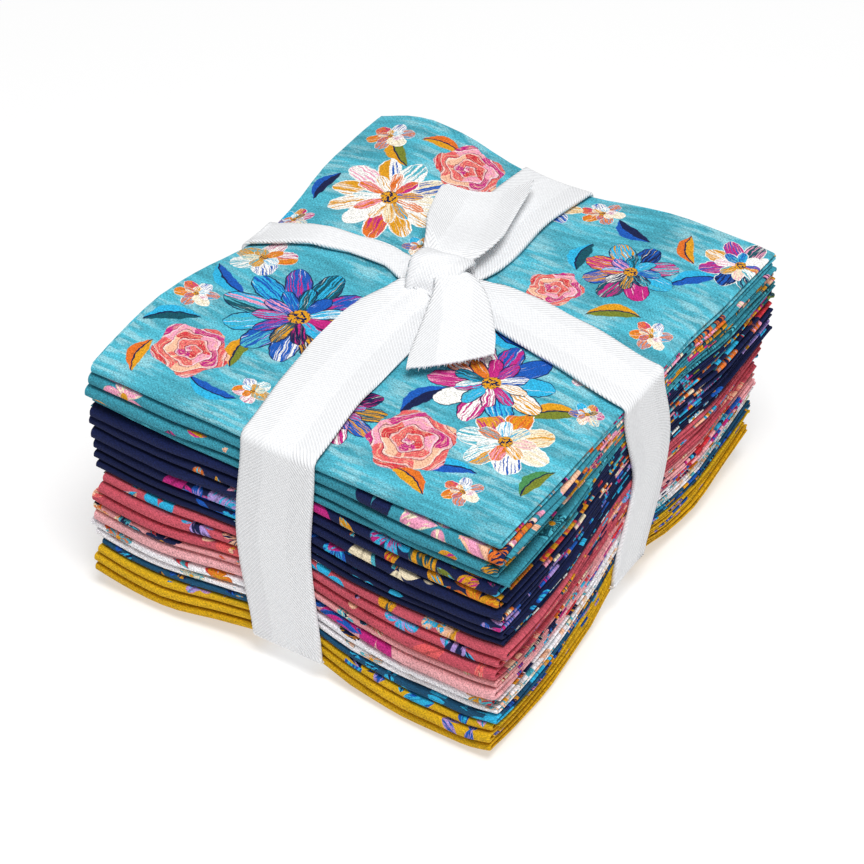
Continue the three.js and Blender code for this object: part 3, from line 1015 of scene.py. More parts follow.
    def petals(self, desk: Desk, colour: Socket, local: Socket, facts: Socket) -> Socket:
        """Paints flowers with two rings of petals, and rosettes with wound ones.

        Args:
            desk: The material's desk.
            colour: What lies under them.
            local: The place within the flower.
            facts: The flower's petals and kind.

        Returns:
            The new colour's socket.
        """
        u, v, _ = desk.parts(local)
        count, kind, _ = desk.parts(facts)
        is_rose = kind > 1.9
        radius = desk.math("SQRT", u * u + v * v)
        angle = desk.math("ARCTAN2", v, u)
        outer, flower = self.ring(desk, radius, angle, count, kind, 1.0, 0.0)
        inner, second = self.ring(desk, radius, angle, count, kind, 0.6, 0.5)
        eye = desk.between(radius, 0.13, 0.15, 1.0, 0.0)
        seeds = desk.noise(local, 18.0, 1.0) > 0.52
        flower = desk.mix(inner, flower, second)
        flower = desk.mix(eye, flower, desk.mix(seeds, Ink.MUSTARD.paint, Ink.NAVY.paint))
        flower_shape = desk.math("MAXIMUM", desk.math("MAXIMUM", outer, inner), eye)
        rose_shape = desk.between(0.9 + 0.09 * desk.math("SINE", angle * 5.0) - radius, 0.0, 0.03)
        both = desk.mix(is_rose, flower, self.wound(desk, radius, angle))
        return desk.mix(flower_shape * (1.0 - is_rose) + rose_shape * is_rose, colour, both)

    def leaf(self, desk: Desk, at: Socket, colour: Socket, leaf: Leaf) -> Socket:
        """Paints one leaf.

        Args:
            desk: The material's desk.
            at: Coordinates on the top face in mm.
            colour: What lies under it.
            leaf: The leaf.

        Returns:
            The new colour's socket.
        """
        here = desk.stretched(at, (leaf.length / 2, leaf.width), (leaf.x, leaf.y), math.radians(leaf.turn))
        along, across, _ = desk.parts(here)
        bent = across + along * along * 0.5 - 0.2
        edge = (1.0 - along * along) * 0.62 - abs(bent)
        half = desk.mix(desk.between(bent, -0.03, 0.03), leaf.body.paint, leaf.vein.paint)
        half = desk.mix(desk.between(abs(bent), 0.03, 0.07, 1.0, 0.0), half, Ink.NAVY.paint)
        return desk.mix(desk.between(edge, 0.0, 0.07), colour, half)

    def brushed_ground(self, desk: Desk, face: Socket) -> Socket:
        """The ground's uneven brush strokes with a pale glaze dragged over them.

        Args:
            desk: The material's desk.
            face: Coordinates on the top face in mm.

        Returns:
            The ground's colour.
        """
        brushed = desk.noise(desk.stretched(face, (24.0, 4.2)), 1.0, 4.0)
        dry = desk.noise(desk.stretched(face, (11.0, 2.4), (3.0, 9.0)), 1.0, 3.0)
        patches = desk.noise(desk.stretched(face, (30.0, 22.0), (9.0, 2.0)), 1.0, 1.0)
        colour = desk.tint(ink(self.ground), desk.between(brushed, 0.32, 0.68, 0.7, 1.1))
        glazed = desk.between(dry, 0.44, 0.6) * desk.between(patches, 0.38, 0.6) * 0.6
        return desk.mix(glazed, colour, ink(self.glaze))

    def painted(self, desk: Desk, at: Socket) -> Socket:
        """The print's colour: the large motifs on the top face, and small ones on the hidden panels.

        Args:
            desk: The material's desk.
            at: Flat cloth coordinates in mm.

        Returns:
            The colour's socket.
        """
        face = desk.vector("SUBTRACT", i0=at, i1=(PANEL / 2, CUT_WIDTH - THIRD / 2, 0.0))
        colour = self.brushed_ground(desk, face)
        rough = desk.node("TexNoise", {}, Vector=face, Scale=0.35, Detail=2.0).outputs["Color"]
        shake = desk.vector("SUBTRACT", i0=rough, i1=(0.5,) * 3)
        hand = desk.vector("MULTIPLY_ADD", i0=shake, i1=(1.6, 1.6, 0.0), i2=face)
        x, y, _ = desk.parts(face)
        past = desk.math("MAXIMUM", abs(x) > PANEL / 2 + 1.0, abs(y) > THIRD / 2 + 2.5)
        rest = self.leaves(desk, at, colour, 8.0, 5.0, 1.0)
        rest = self.flowers(desk, at, rest, 15.0, 1.0, 1.0)
        colour = desk.mix(past, colour, rest)
        for leaf in LEAVES:
            colour = self.leaf(desk, hand, colour, leaf)
        for blooms in (SMALL_BLOOMS, LARGE_BLOOMS):
            colour = self.petals(desk, colour, *self.nearest(desk, hand, blooms))
        strokes = desk.noise(desk.stretched(face, (1.2, 0.5), turn=0.7), 1.0, 3.0)
        return desk.tint(colour, desk.between(strokes, 0.2, 0.8, 0.88, 1.12))


# ---- The folded cuts ---------------------------------------------------------------------------


@dataclass(frozen=True)
class Cut:
    """One cut of cloth.

    Attributes:
        pitch: Its share of the stack's height in mm.
        fold: The same at its front fold, before the folds are scaled to the stack.
        front: How far its front fold stands out, in mm.
        shift: How far it lies to the right, in mm.
        grow: How much farther each side reaches, in mm.
        turn: How far it is turned in the stack, in radians.
        left: How far its front left corner lies to the right, in mm.
        slant: How far its back right corner stands out, in mm.
        slot: The name of its material slot; not used.
        cloth: Its print.
    """

    pitch: float
    fold: float
    front: float
    shift: float
    grow: float
    turn: float
    left: float
    slant: float
    slot: str
    cloth: Cotton


TEAL, NAVY, CORAL, GOLD = "3a90a3", "161f48", "c65563", "d5a81a"
CUTS = (
    Cut(3.78, 3.6, -0.2, -1.2, 0.0, 0.004, 1.0, 1.8, "cotton_teal",
        Floral("50b4c9", (Ink.NAVY, Ink.WHITE, Ink.MUSTARD, Ink.MAGENTA, Ink.CYAN, Ink.ORANGE), 0.05,
               ends=0.85)),
    Cut(4.40, 4.6, 0.8, -0.3, 0.8, -0.003, -0.1, 1.7, "cotton_teal",
        Cotton(TEAL, (Ink.ORANGE, Ink.PEACH, Ink.PINK, Ink.CREAM, Ink.NAVY), 0.05, 20, 1,
               ((-56, 12), (30, 8), (50, 9)), ends=0.6)),
    Cut(4.27, 4.4, 1.2, -1.4, 0.5, 0.002, 1.0, 3.0, "cotton_teal",
        Cotton("3a91a4", (Ink.DARK_TEAL, Ink.PEACH, Ink.MAGENTA, Ink.MUSTARD), 0.05, 18, 2,
               ((-32, 9), (53, 8)), ends=0.8)),
    Cut(3.40, 2.9, -0.6, 0.3, 0.6, -0.004, -1.4, 1.2, "cotton_teal",
        Cotton("36899b", (Ink.DARK_TEAL, Ink.TEAL), 0.1, 15, 3, ends=0.25)),
    Cut(4.27, 4.4, 0.7, -1.0, 0.2, 0.003, 0.1, 2.7, "cotton_navy",
        Cotton("151f4a", (Ink.CYAN, Ink.OLIVE, Ink.TEAL, Ink.MUSTARD, Ink.DARK_TEAL, Ink.MAGENTA),
               0.04, 22, 4, ((35, 33),), 0.95, 0.95)),
    Cut(4.02, 4.0, 0.2, -0.6, 0.5, -0.002, -0.5, 2.0, "cotton_navy",
        Cotton(NAVY, (Ink.ORANGE, Ink.CYAN, Ink.RED, Ink.MUSTARD, Ink.TEAL), 0.03, 19, 5,
               ((48, 18), (-24, 6)), 0.95, 0.7)),
    Cut(4.15, 4.2, 0.6, -0.2, 0.6, 0.003, 0.5, 1.8, "cotton_navy",
        Cotton(NAVY, (Ink.PINK, Ink.TEAL, Ink.ORANGE, Ink.CREAM), 0.04, 20, 6,
               ((36, 14), (-22, 7)), 0.8, 0.5)),
    Cut(4.27, 4.4, 0.1, -0.5, 0.2, -0.004, -0.9, 2.1, "cotton_navy",
        Cotton(NAVY, (Ink.COBALT, Ink.MAGENTA, Ink.CYAN, Ink.LILAC), 0.05, 17, 7,
               ((-28, 13), (12, 6)), 0.9, 0.55)),
    Cut(3.40, 3.0, -0.7, 1.1, 0.2, 0.002, -1.3, 1.0, "cotton_navy",
        Cotton("141c42", (Ink.COBALT, Ink.CYAN), 0.05, 13, 8, ((-22, 8),), 0.8, 0.25)),
    Cut(3.40, 2.7, -1.1, 1.5, -0.1, 0.006, -0.3, -0.9, "cotton_navy",
        Cotton("141c42", (Ink.CYAN, Ink.WHITE), 0.08, 12, 9, ends=0.3)),
    Cut(3.84, 3.7, -0.4, 1.7, 0.0, -0.003, 0.5, -1.2, "cotton_coral",
        Cotton(CORAL, (Ink.PEACH, Ink.DARK_TEAL, Ink.MUSTARD, Ink.CYAN), 0.06, 17, 10,
               ((-46, 16), (38, 12)), 0.8, 0.4)),
    Cut(3.97, 3.9, 0.3, 0.9, 0.1, 0.004, 1.2, -1.6, "cotton_coral",
        Cotton(CORAL, (Ink.CYAN, Ink.PEACH, Ink.LILAC, Ink.NAVY), 0.06, 18, 11,
               ((-28, 11), (48, 16)), 0.85, 0.5)),
    Cut(4.21, 4.3, 0.9, 0.0, 0.1, -0.002, 0.6, 0.4, "cotton_coral",
        Cotton("c0505e", (Ink.CORAL, Ink.PEACH), 0.08, 15, 12, ends=0.3)),
    Cut(3.40, 2.8, 0.0, -0.1, 0.0, 0.003, 0.4, -0.8, "cotton_pink",
        Cotton("e39b9e", (Ink.TEAL, Ink.RED, Ink.ORANGE, Ink.CREAM, Ink.NAVY), 0.1, 13, 13,
               ((-54, 12), (22, 14)), 0.9, 0.7)),
    Cut(4.40, 4.6, 0.6, -0.7, 0.1, -0.005, 0.0, 1.2, "cotton_pink",
        Cotton("e7a8ac", (Ink.COBALT, Ink.RED, Ink.NAVY, Ink.CYAN, Ink.MAGENTA), 0.04, 19, 14,
               ((22, 18),), 1.0, 0.75)),
    Cut(3.66, 3.4, -0.3, -0.2, -0.5, 0.002, -1.3, -0.2, "cotton_white",
        Cotton("f1eff3", (Ink.ORANGE, Ink.TEAL, Ink.RED, Ink.MUSTARD, Ink.NAVY), 0.05, 14, 15,
               ((-58, 8), (-31, 8)), 0.85, 0.75)),
    Cut(3.40, 2.8, -0.9, 1.0, -0.5, 0.005, -0.6, -2.2, "cotton_white",
        Cotton("f0ecef", (Ink.PEACH, Ink.CREAM, Ink.TEAL), 0.1, 12, 16, ends=0.7)),
    Cut(3.40, 2.8, -0.4, 0.4, -0.4, -0.004, 0.2, -0.7, "cotton_gold",
        Cotton("1d4f70", (Ink.MUSTARD, Ink.COBALT, Ink.NAVY, Ink.CYAN), 0.35, 15, 17,
               ((-60, 6),), 0.8, 0.7)),
    Cut(3.66, 3.4, 0.3, 0.4, -0.2, 0.002, 0.4, -1.3, "cotton_gold",
        Cotton(GOLD, (Ink.LILAC, Ink.NAVY, Ink.COBALT, Ink.CYAN, Ink.PINK), 0.03, 17, 18,
               ((-34, 14), (38, 20)), 0.9, 0.3)),
    Cut(3.97, 3.9, 1.0, -0.2, -0.5, -0.002, -0.1, -0.3, "cotton_gold",
        Cotton(GOLD, (Ink.LILAC, Ink.COBALT), 0.0, 15, 19, ((58, 5),), 0.8, 0.1)),
    Cut(3.81, 3.6, 0.5, -0.3, -0.6, 0.003, -0.4, -0.2, "cotton_gold", Cotton("cfa012")),
)


class Across(IntEnum):
    """The four panels across the bundle and the folds between them, in the cloth's own order."""

    BOTTOM_PLY, RIGHT_FOLD, TOP_PLY, LEFT_FOLD, UPPER_PLY, INNER_FOLD, LOWER_PLY = range(7)


class Along(IntEnum):
    """The three layers along the bundle and the folds between them, in the cloth's own order."""

    MIDDLE, BACK_FOLD, LOWER, FRONT_FOLD, UPPER = range(5)


@dataclass
class Layout:
    """Places of the cloth's grid along one direction: flat runs with folds between.

    Attributes:
        run: Which run or fold each place is in, counted together.
        share: The share of the run that lies before it.
        angle: Its angle round the fold, in radians.
        flat: Its place on the flat cloth in mm.
        spread: Its place on the bake map.
    """

    run: list[int] = field(default_factory=list)
    share: list[float] = field(default_factory=list)
    angle: list[float] = field(default_factory=list)
    flat: list[float] = field(default_factory=list)
    spread: list[float] = field(default_factory=list)

    def add(self, *place: float) -> None:
        """Adds one place, given in the order of the attributes."""
        for row, value in zip((self.run, self.share, self.angle, self.flat, self.spread), place):
            row.append(value)

    @classmethod
    def of(cls, length: float, runs: tuple[tuple[int, float], ...],
           folds: tuple[tuple[int, float, float], ...]) -> "Layout":
        """Lays out runs of one length with their folds between, closer together near the folds.

        Args:
            length: A run's length in mm.
            runs: Each run's number of steps and its weight on the bake map.
            folds: The same for each fold, and how much flat cloth it takes in mm.

        Returns:
            The layout.
        """
        layout = cls()
        flat = spread = 0.0
        for number, (count, weight) in enumerate(runs):
            for i in range(count + 1):
                eased = 0.5 - 0.5 * math.cos(math.pi * i / count)
                share = 0.55 * eased + 0.45 * i / count
                layout.add(2 * number, share, 0.0, flat + length * share, spread + weight * share)
            flat += length
            spread += weight
            if number == len(folds):
                break
            count, weight, taken = folds[number]
            for i in range(1, count):
                part = i / count
                place = flat + (part - 0.5) * taken
                layout.add(2 * number + 1, 0.0, math.pi * (part - 0.5), place, spread + weight * part)
            spread += weight
        layout.spread = [value / spread for value in layout.spread]
        return layout


ACROSS = Layout.of(PANEL, ((26, 1.0), (22, 0.45), (12, 0.06), (12, 0.06)),
                   ((8, 0.25, 0.0), (4, 0.08, 0.0), (4, 0.04, 0.0)))
ALONG = Layout.of(THIRD, ((22, 0.2), (22, 0.35), (28, 1.0)), ((7, 0.1, 3.0), (11, 0.35, 5.0)))


@dataclass
class FoldedCuts:
    """The cuts of cloth, each one sheet folded in quarters across and in thirds along the bundle.

    Attributes:
        shape: The tied stack's shape.
        edge_pull: How far the ribbon pulls in the sides, in mm.
        gap: The room between two cuts, in mm.
        cloth_share: The cloth's thickness, in plies.
        layer_share: A layer's height, as a share of four plies.
        creep: How far the free ends of the plies run back in two plies of height, in mm.
        flatness: The power that squashes the front fold's round.
        swell_from: Where the cuts start to swell towards the front folds, along Y in mm.
        swell_over: How far that takes, in mm.
        waviness: How far the joints wave, in mm.
        plumpness: How round the front folds are, in plies' heights.
        wander: How far the front folds and the back ones wander, in mm.
        tuck_inset: How far the tucked layer stays off the front fold's inside, in mm.
        end_inset: How far the upper layer's end stays within the back fold, in mm.
        askew: How far the upper cuts lie askew along the bundle, in mm.
        askew_from: The height at which that starts, in mm.
        askew_over: The height over which it grows, in mm.
        joints: Heights of the joints between the cuts, from the top, in mm.
        fold_joints: The same at the front folds.
    """

    shape: TiedShape
    edge_pull: float = 2.0
    gap: float = 0.64
    cloth_share: float = 0.8
    layer_share: float = 0.88
    creep: float = 0.5
    flatness: float = 0.78
    swell_from: float = -35.0
    swell_over: float = 38.0
    waviness: float = 0.2
    plumpness: float = 1.12
    wander: tuple[float, float] = (0.28, 0.3)
    tuck_inset: float = 0.4
    end_inset: float = 0.9
    askew: float = 2.1
    askew_from: float = 38.0
    askew_over: float = 14.0
    joints: list[float] = field(init=False)
    fold_joints: list[float] = field(init=False)

    def __post_init__(self) -> None:
        """Adds up the heights of the joints between cuts."""
        self.joints = [sum(cut.pitch for cut in CUTS[i:]) for i in range(len(CUTS) + 1)]
        folds = [sum(cut.fold for cut in CUTS[i:]) for i in range(len(CUTS) + 1)]
        self.fold_joints = [fold * self.shape.stack / folds[0] for fold in folds]

    def joint(self, number: int, x: np.ndarray, y: np.ndarray) -> np.ndarray:
        """Height of the joint above a cut, in the square stack.

        Args:
            number: How many cuts lie above it.
            x: Places along X in mm.
            y: Places along Y in mm.

        Returns:
            Heights in mm, which follow the plump front folds and wave a little.
        """
        near_front = ease((self.swell_from - y) / self.swell_over)
        height = self.joints[number] + near_front * (self.fold_joints[number] - self.joints[number])
        if 0 < number < len(CUTS):
            tied = 1 - (1 - self.shape.tied_x(x)) * (1 - self.shape.tied_y(y))
            wave = sway(100 + number, x + 0.35 * y, 95.0) + sway(300 + number, y - 0.3 * x, 80.0)
            height = height + self.waviness * wave * (1 - 0.6 * tied)
        return height

    def ply(self, run: int, share: float, angle: float) -> tuple[float, float, float, float, float]:
        """Where a place across the folded strip lies.

        Args:
            run: The panel or fold.
            share: The share of the panel that lies before it.
            angle: The angle round the fold.

        Returns:
            The share of the way from left to right, the reach past there and the height from the strip's
            middle, both in plies, and the direction of the printed face in the same two.
        """
        sine, cosine = math.sin(angle), math.cos(angle)
        return {
            Across.BOTTOM_PLY: (share, 0.0, -1.5, 0.0, -1.0),
            Across.RIGHT_FOLD: (1.0, 1.5 * cosine, 1.5 * sine, cosine, sine),
            Across.TOP_PLY: (1.0 - share, 0.0, 1.5, 0.0, 1.0),
            Across.LEFT_FOLD: (0.0, -0.5 * cosine, 1.0 - 0.5 * sine, -cosine, -sine),
            Across.UPPER_PLY: (share, 0.0, 0.5, 0.0, -1.0),
            Across.INNER_FOLD: (1.0, 0.5 * cosine - 1.2, -0.5 * sine, -cosine, sine),
            Across.LOWER_PLY: (1.0 - share, 0.0, -0.5, 0.0, 1.0),
        }[Across(run)]

    def section(self, side: float) -> tuple[np.ndarray, np.ndarray, np.ndarray]:
        """The folded strip's section across the bundle, for one face of the cloth.

        Args:
            side: 1 for the printed face and -1 for the other.

        Returns:
            The share of the way from left to right, and the reach past there and the height from the
            strip's middle, in plies.
        """
        places = [self.ply(*place) for place in zip(ACROSS.run, ACROSS.share, ACROSS.angle)]
        share, reach, height, out, up = np.array(places).T
        half = side * self.cloth_share / 2
        return share, reach + half * out, self.layer_share * (height + half * up)

    def sheet(self, index: int, side: float) -> np.ndarray:
        """Points of one face of a cut's cloth.

        Args:
            index: The cut, from the top.
            side: 1 for the printed face and -1 for the other.

        Returns:
            Points, rows along the width by columns over the length, in mm.
        """
        cut, seed = CUTS[index], 10 * index
        share, reach, rise = self.section(side)
        run, t, angle = (np.array(row)[:, None] for row in (ALONG.run, ALONG.share, ALONG.angle))
        rows = [run == part for part in Along]
        way = np.select(rows, [t, 1.0, 1 - t, 0.0, t])
        y_near = -THIRD / 2 + THIRD * way
        tied_y = self.shape.tied_y(y_near)
        layer = np.array([1.0, 0.5, 0.0, 2.0, 2.0])[run]
        left, right = (self.side_edge(cut, sign, y_near, tied_y, layer, seed) for sign in (-1.0, 1.0))
        x = left + (right - left) * share + reach * cut.pitch / PLIES
        low = self.joint(index + 1, x, y_near) + self.gap / 2
        high = self.joint(index, x, y_near) - self.gap / 2
        ply = (high - low) / PLIES
        y, height = self.layers(index, run, t, angle, x, ply, rise)
        return np.stack([x, y, self.shape.lift(x, y, low + ply * height)], -1)

    def layers(self, index: int, run: np.ndarray, t: np.ndarray, angle: np.ndarray, x: np.ndarray,
               ply: np.ndarray, rise: np.ndarray) -> tuple[np.ndarray, np.ndarray]:
        """The cut's section along the bundle.

        The lower layer's middle is 2 plies up, the middle one's 6 and the upper one's 10. The back fold
        turns about 4 plies and the front fold about 6.

        Args:
            index: The cut, from the top.
            run: Each row's layer or fold.
            t: The share of the layer before it.
            angle: Its angle round the fold.
            x: Places along X in mm.
            ply: A ply's height at each place, in mm.
            rise: Each column's height from its strip's middle, in plies.

        Returns:
            Places along Y in mm and heights in plies.
        """
        cut, seed = CUTS[index], 10 * index
        loose = 1 - self.shape.tied_x(x)
        pull = self.edge_pull * (1 - loose)
        offset = (cut.front - cut.turn * x) * loose
        upper = self.askew * ease((self.joints[index] - self.askew_from) / self.askew_over)
        plump = self.plumpness + 0.12 * sway(seed + 5, x, 70.0) * loose
        front = -THIRD / 2 + pull - offset + self.wander[0] * sway(seed + 6, x, 75.0) * loose
        front = front + upper * ease((-x - 8.0) / 58.0)
        back = THIRD / 2 - pull - offset + self.wander[1] * sway(seed + 7, x, 65.0) * loose
        back = back + upper * (0.5 + 0.5 * loose)
        front_run, back_run = front + 6.0 * ply * plump, back - 4.0 * ply
        tuck = front_run + self.tuck_inset + 0.3 * (1.5 + rise)
        end = back - self.end_inset - self.creep * (1.5 + rise) * 0.5
        end = end + 0.5 * sway(seed + 8, x, 45.0) * loose
        squashed = np.sign(np.sin(angle)) * np.abs(np.sin(angle)) ** self.flatness
        rows = [run == part for part in Along]
        y = np.select(rows, [
            tuck + (back_run - tuck) * t,
            back_run + (2.0 - rise) * ply * np.cos(angle),
            back_run + (front_run - back_run) * t,
            front_run - (4.0 - rise) * ply * plump * np.cos(angle) ** self.flatness,
            front_run + (end - front_run) * t,
        ])
        height = np.select(rows, [
            6.0 - rise,
            4.0 - (2.0 - rise) * np.sin(angle),
            2.0 + rise,
            6.0 + (4.0 - rise) * squashed,
            10.0 - rise,
        ])
        return y, height

    def side_edge(self, cut: Cut, sign: float, y: np.ndarray, tied: np.ndarray, layer: np.ndarray,
                  seed: int) -> np.ndarray:
        """Where a side of the folded strip lies.

        Args:
            cut: The cut.
            sign: 1 for the right side and -1 for the left one.
            y: Places along it in mm.
            tied: The ribbon's share there.
            layer: Which layer of the fold each place is in.
            seed: Picks the wander.

        Returns:
            X in mm.
        """
        far = np.clip(y / THIRD + 0.5, 0.0, 1.0)
        corner = cut.slant * far if sign > 0 else cut.left * (1 - far)
        loose = cut.shift + sign * cut.grow + cut.turn * y + corner
        own = 0.6 * np.sin(3.1 * layer + 1.7 * seed + sign) - 0.45
        own = own + 0.28 * sway(seed + int(sign) + 2, y + 31.0 * layer, 70.0)
        return sign * PANEL / 2 + (1 - tied) * (loose + sign * own) - sign * tied * (self.edge_pull + 0.25)

    def build(self) -> list[bpy.types.Object]:
        """Makes every cut with its print.

        Returns:
            The pieces, from the top down.
        """
        cloth = np.stack(np.meshgrid(ACROSS.flat, ALONG.flat), -1)
        bake = np.stack(np.meshgrid(ACROSS.spread, ALONG.spread), -1)
        made = []
        for index, cut in enumerate(CUTS):
            name = f"cut_{index + 1:02d}"
            piece = closed_sheet(name, self.sheet(index, 1.0), self.sheet(index, -1.0), cloth, bake)
            piece.data.materials.append(cut.cloth.material(f"{name}_cotton"))
            self.declare(piece, index)
            made.append(piece)
            LOG.info("%s: %d faces", name, len(piece.data.polygons))
        return made

    def declare(self, piece: bpy.types.Object, index: int) -> None:
        """Attaches the piece to the root body and hides its part from model.glb.

        Args:
            piece: The cut's object.
            index: Its number from the top.
        """
        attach(piece, "root")
        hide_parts(f"quarter_{index + 1:02d}")
        below = f"quarter_{index + 2:02d}" if index + 1 < len(CUTS) else "ribbon"


# ---- The ribbon --------------------------------------------------------------------------------


@dataclass(frozen=True)
class TapeFinish:
    """White woven tape: twill along both sides and a plain middle, with their pitches in mm."""

    colour: str = "f5f6f8"
    rib: float = 1.25
    plain: float = 1.1
    depth: float = 0.0003
    roughness: float = 0.75
    sheen: float = 0.02

    def material(self) -> bpy.types.Material:
        """Makes the tape's material.

        Returns:
            The material.
        """
        desk = Desk("ribbon_twill")
        at = desk.cloth_map()
        across, along, _ = desk.parts(at)
        side = desk.between(abs(across), 3.6, 5.0)
        twill = desk.wave(along - abs(across) * 1.15, self.rib)
        plain = desk.wave(across, self.plain) * desk.wave(along, self.plain)
        ribs = twill * side + plain * (1.0 - side) * 0.7
        fuzz = desk.noise(desk.stretched(at, (0.5, 1.6)), 1.0)
        shade = desk.between(ribs, -1.0, 1.0, 0.87, 1.0) * desk.between(fuzz, 0.2, 0.8, 0.94, 1.05)
        colour = desk.tint(ink(self.colour), shade)
        return desk.finish(colour, ribs * 0.4 + fuzz * 0.3 + 0.3, self.depth, self.roughness, self.sheen)


class Side(Enum):
    """The sides of the bundle: the axis that its arm runs along and the way it runs."""

    FRONT = (1, -1.0)
    BACK = (1, 1.0)
    LEFT = (0, -1.0)
    RIGHT = (0, 1.0)


@dataclass(frozen=True)
class Stop:
    """A row of an arm's table: where the ribbon lies across the arm and how wide it looks, in mm."""

    off: float
    width: float


@dataclass(frozen=True)
class Arm:
    """One of the ribbon's four arms, from near the knot to the underside."""

    knee: Stop
    outer: Stop
    edge: Stop
    middle: Stop
    under: Stop


@dataclass(frozen=True)
class Row:
    """A row of a loose strip: its middle, its rise over the stack, its width's angle, width and cup."""

    x: float
    y: float
    rise: float
    angle: float
    width: float
    cup: float


@dataclass(frozen=True)
class Strip:
    """A loose strip of the tape.

    Attributes:
        start: Where it starts along the flat tape, in mm.
        count: How many rows of points it gets.
        crease: The depth of its gathers in mm.
        rows: Its table.
    """

    start: float
    count: int
    crease: float
    rows: tuple[Row, ...]


ARMS = {
    Side.FRONT: Arm(Stop(-7.5, 23), Stop(-6.6, 22.6), Stop(-4.1, 22.4), Stop(-5.7, 23.2), Stop(-1.0, 22)),
    Side.BACK: Arm(Stop(-2.9, 18.4), Stop(-3.8, 20.4), Stop(-2.6, 21.8), Stop(-2.0, 23.4), Stop(-2.0, 24)),
    Side.RIGHT: Arm(Stop(9.2, 16.2), Stop(5.2, 19.4), Stop(2.4, 20.6), Stop(11.0, 19.4), Stop(1.7, 17.6)),
    Side.LEFT: Arm(Stop(12.0, 6.8), Stop(9.8, 8.4), Stop(7.2, 12.9), Stop(6.0, 20), Stop(3.0, 21)),
}
FRONT_TAIL = Strip(560.0, 44, 0.5, (
    Row(-3.2, 8.0, 4.0, 38, 9, 0.0),
    Row(0.6, 6.8, 6.0, 43, 9.5, -0.4),
    Row(3.9, 4.2, 6.0, 47, 12.4, -0.8),
    Row(8.0, -2.2, 4.6, 52, 18.0, -0.6),
    Row(13.0, -12.0, 3.2, 51, 22.6, 0.2),
    Row(18.4, -23.0, 3.0, 48, 25.4, 0.8),
))
BACK_TAIL = Strip(640.0, 52, 0.6, (
    Row(-5.5, 9.5, 4.4, 0, 10.5, 0.0),
    Row(-5.8, 14.2, 6.4, 0, 13.5, 0.4),
    Row(-6.4, 19.8, 6.2, 0, 18, 1.0),
    Row(-8.2, 27.6, 4.6, 3, 22.5, 2.0),
    Row(-10.6, 36.6, 3.2, 5, 23.7, 2.8),
    Row(-12.6, 45.6, 2.4, 16, 24, 3.4),
    Row(-13.8, 53.0, 2.0, 38, 26, 3.8),
))
KNOT_WRAP = Strip(400.0, 34, 0.4, (
    Row(-4.0, 16.8, 0.9, 7, 10.5, 0.0),
    Row(-4.1, 15.8, 4.4, 7, 12.4, -0.5),
    Row(-4.3, 13.2, 7.2, 7, 14.4, -1.1),
    Row(-4.5, 10.0, 8.2, 7, 15.0, -1.4),
    Row(-4.7, 6.8, 7.6, 7, 14.4, -1.2),
    Row(-5.0, 3.8, 4.6, 7, 12.4, -0.5),
    Row(-5.2, 2.4, 1.0, 7, 10.5, 0.0),
))


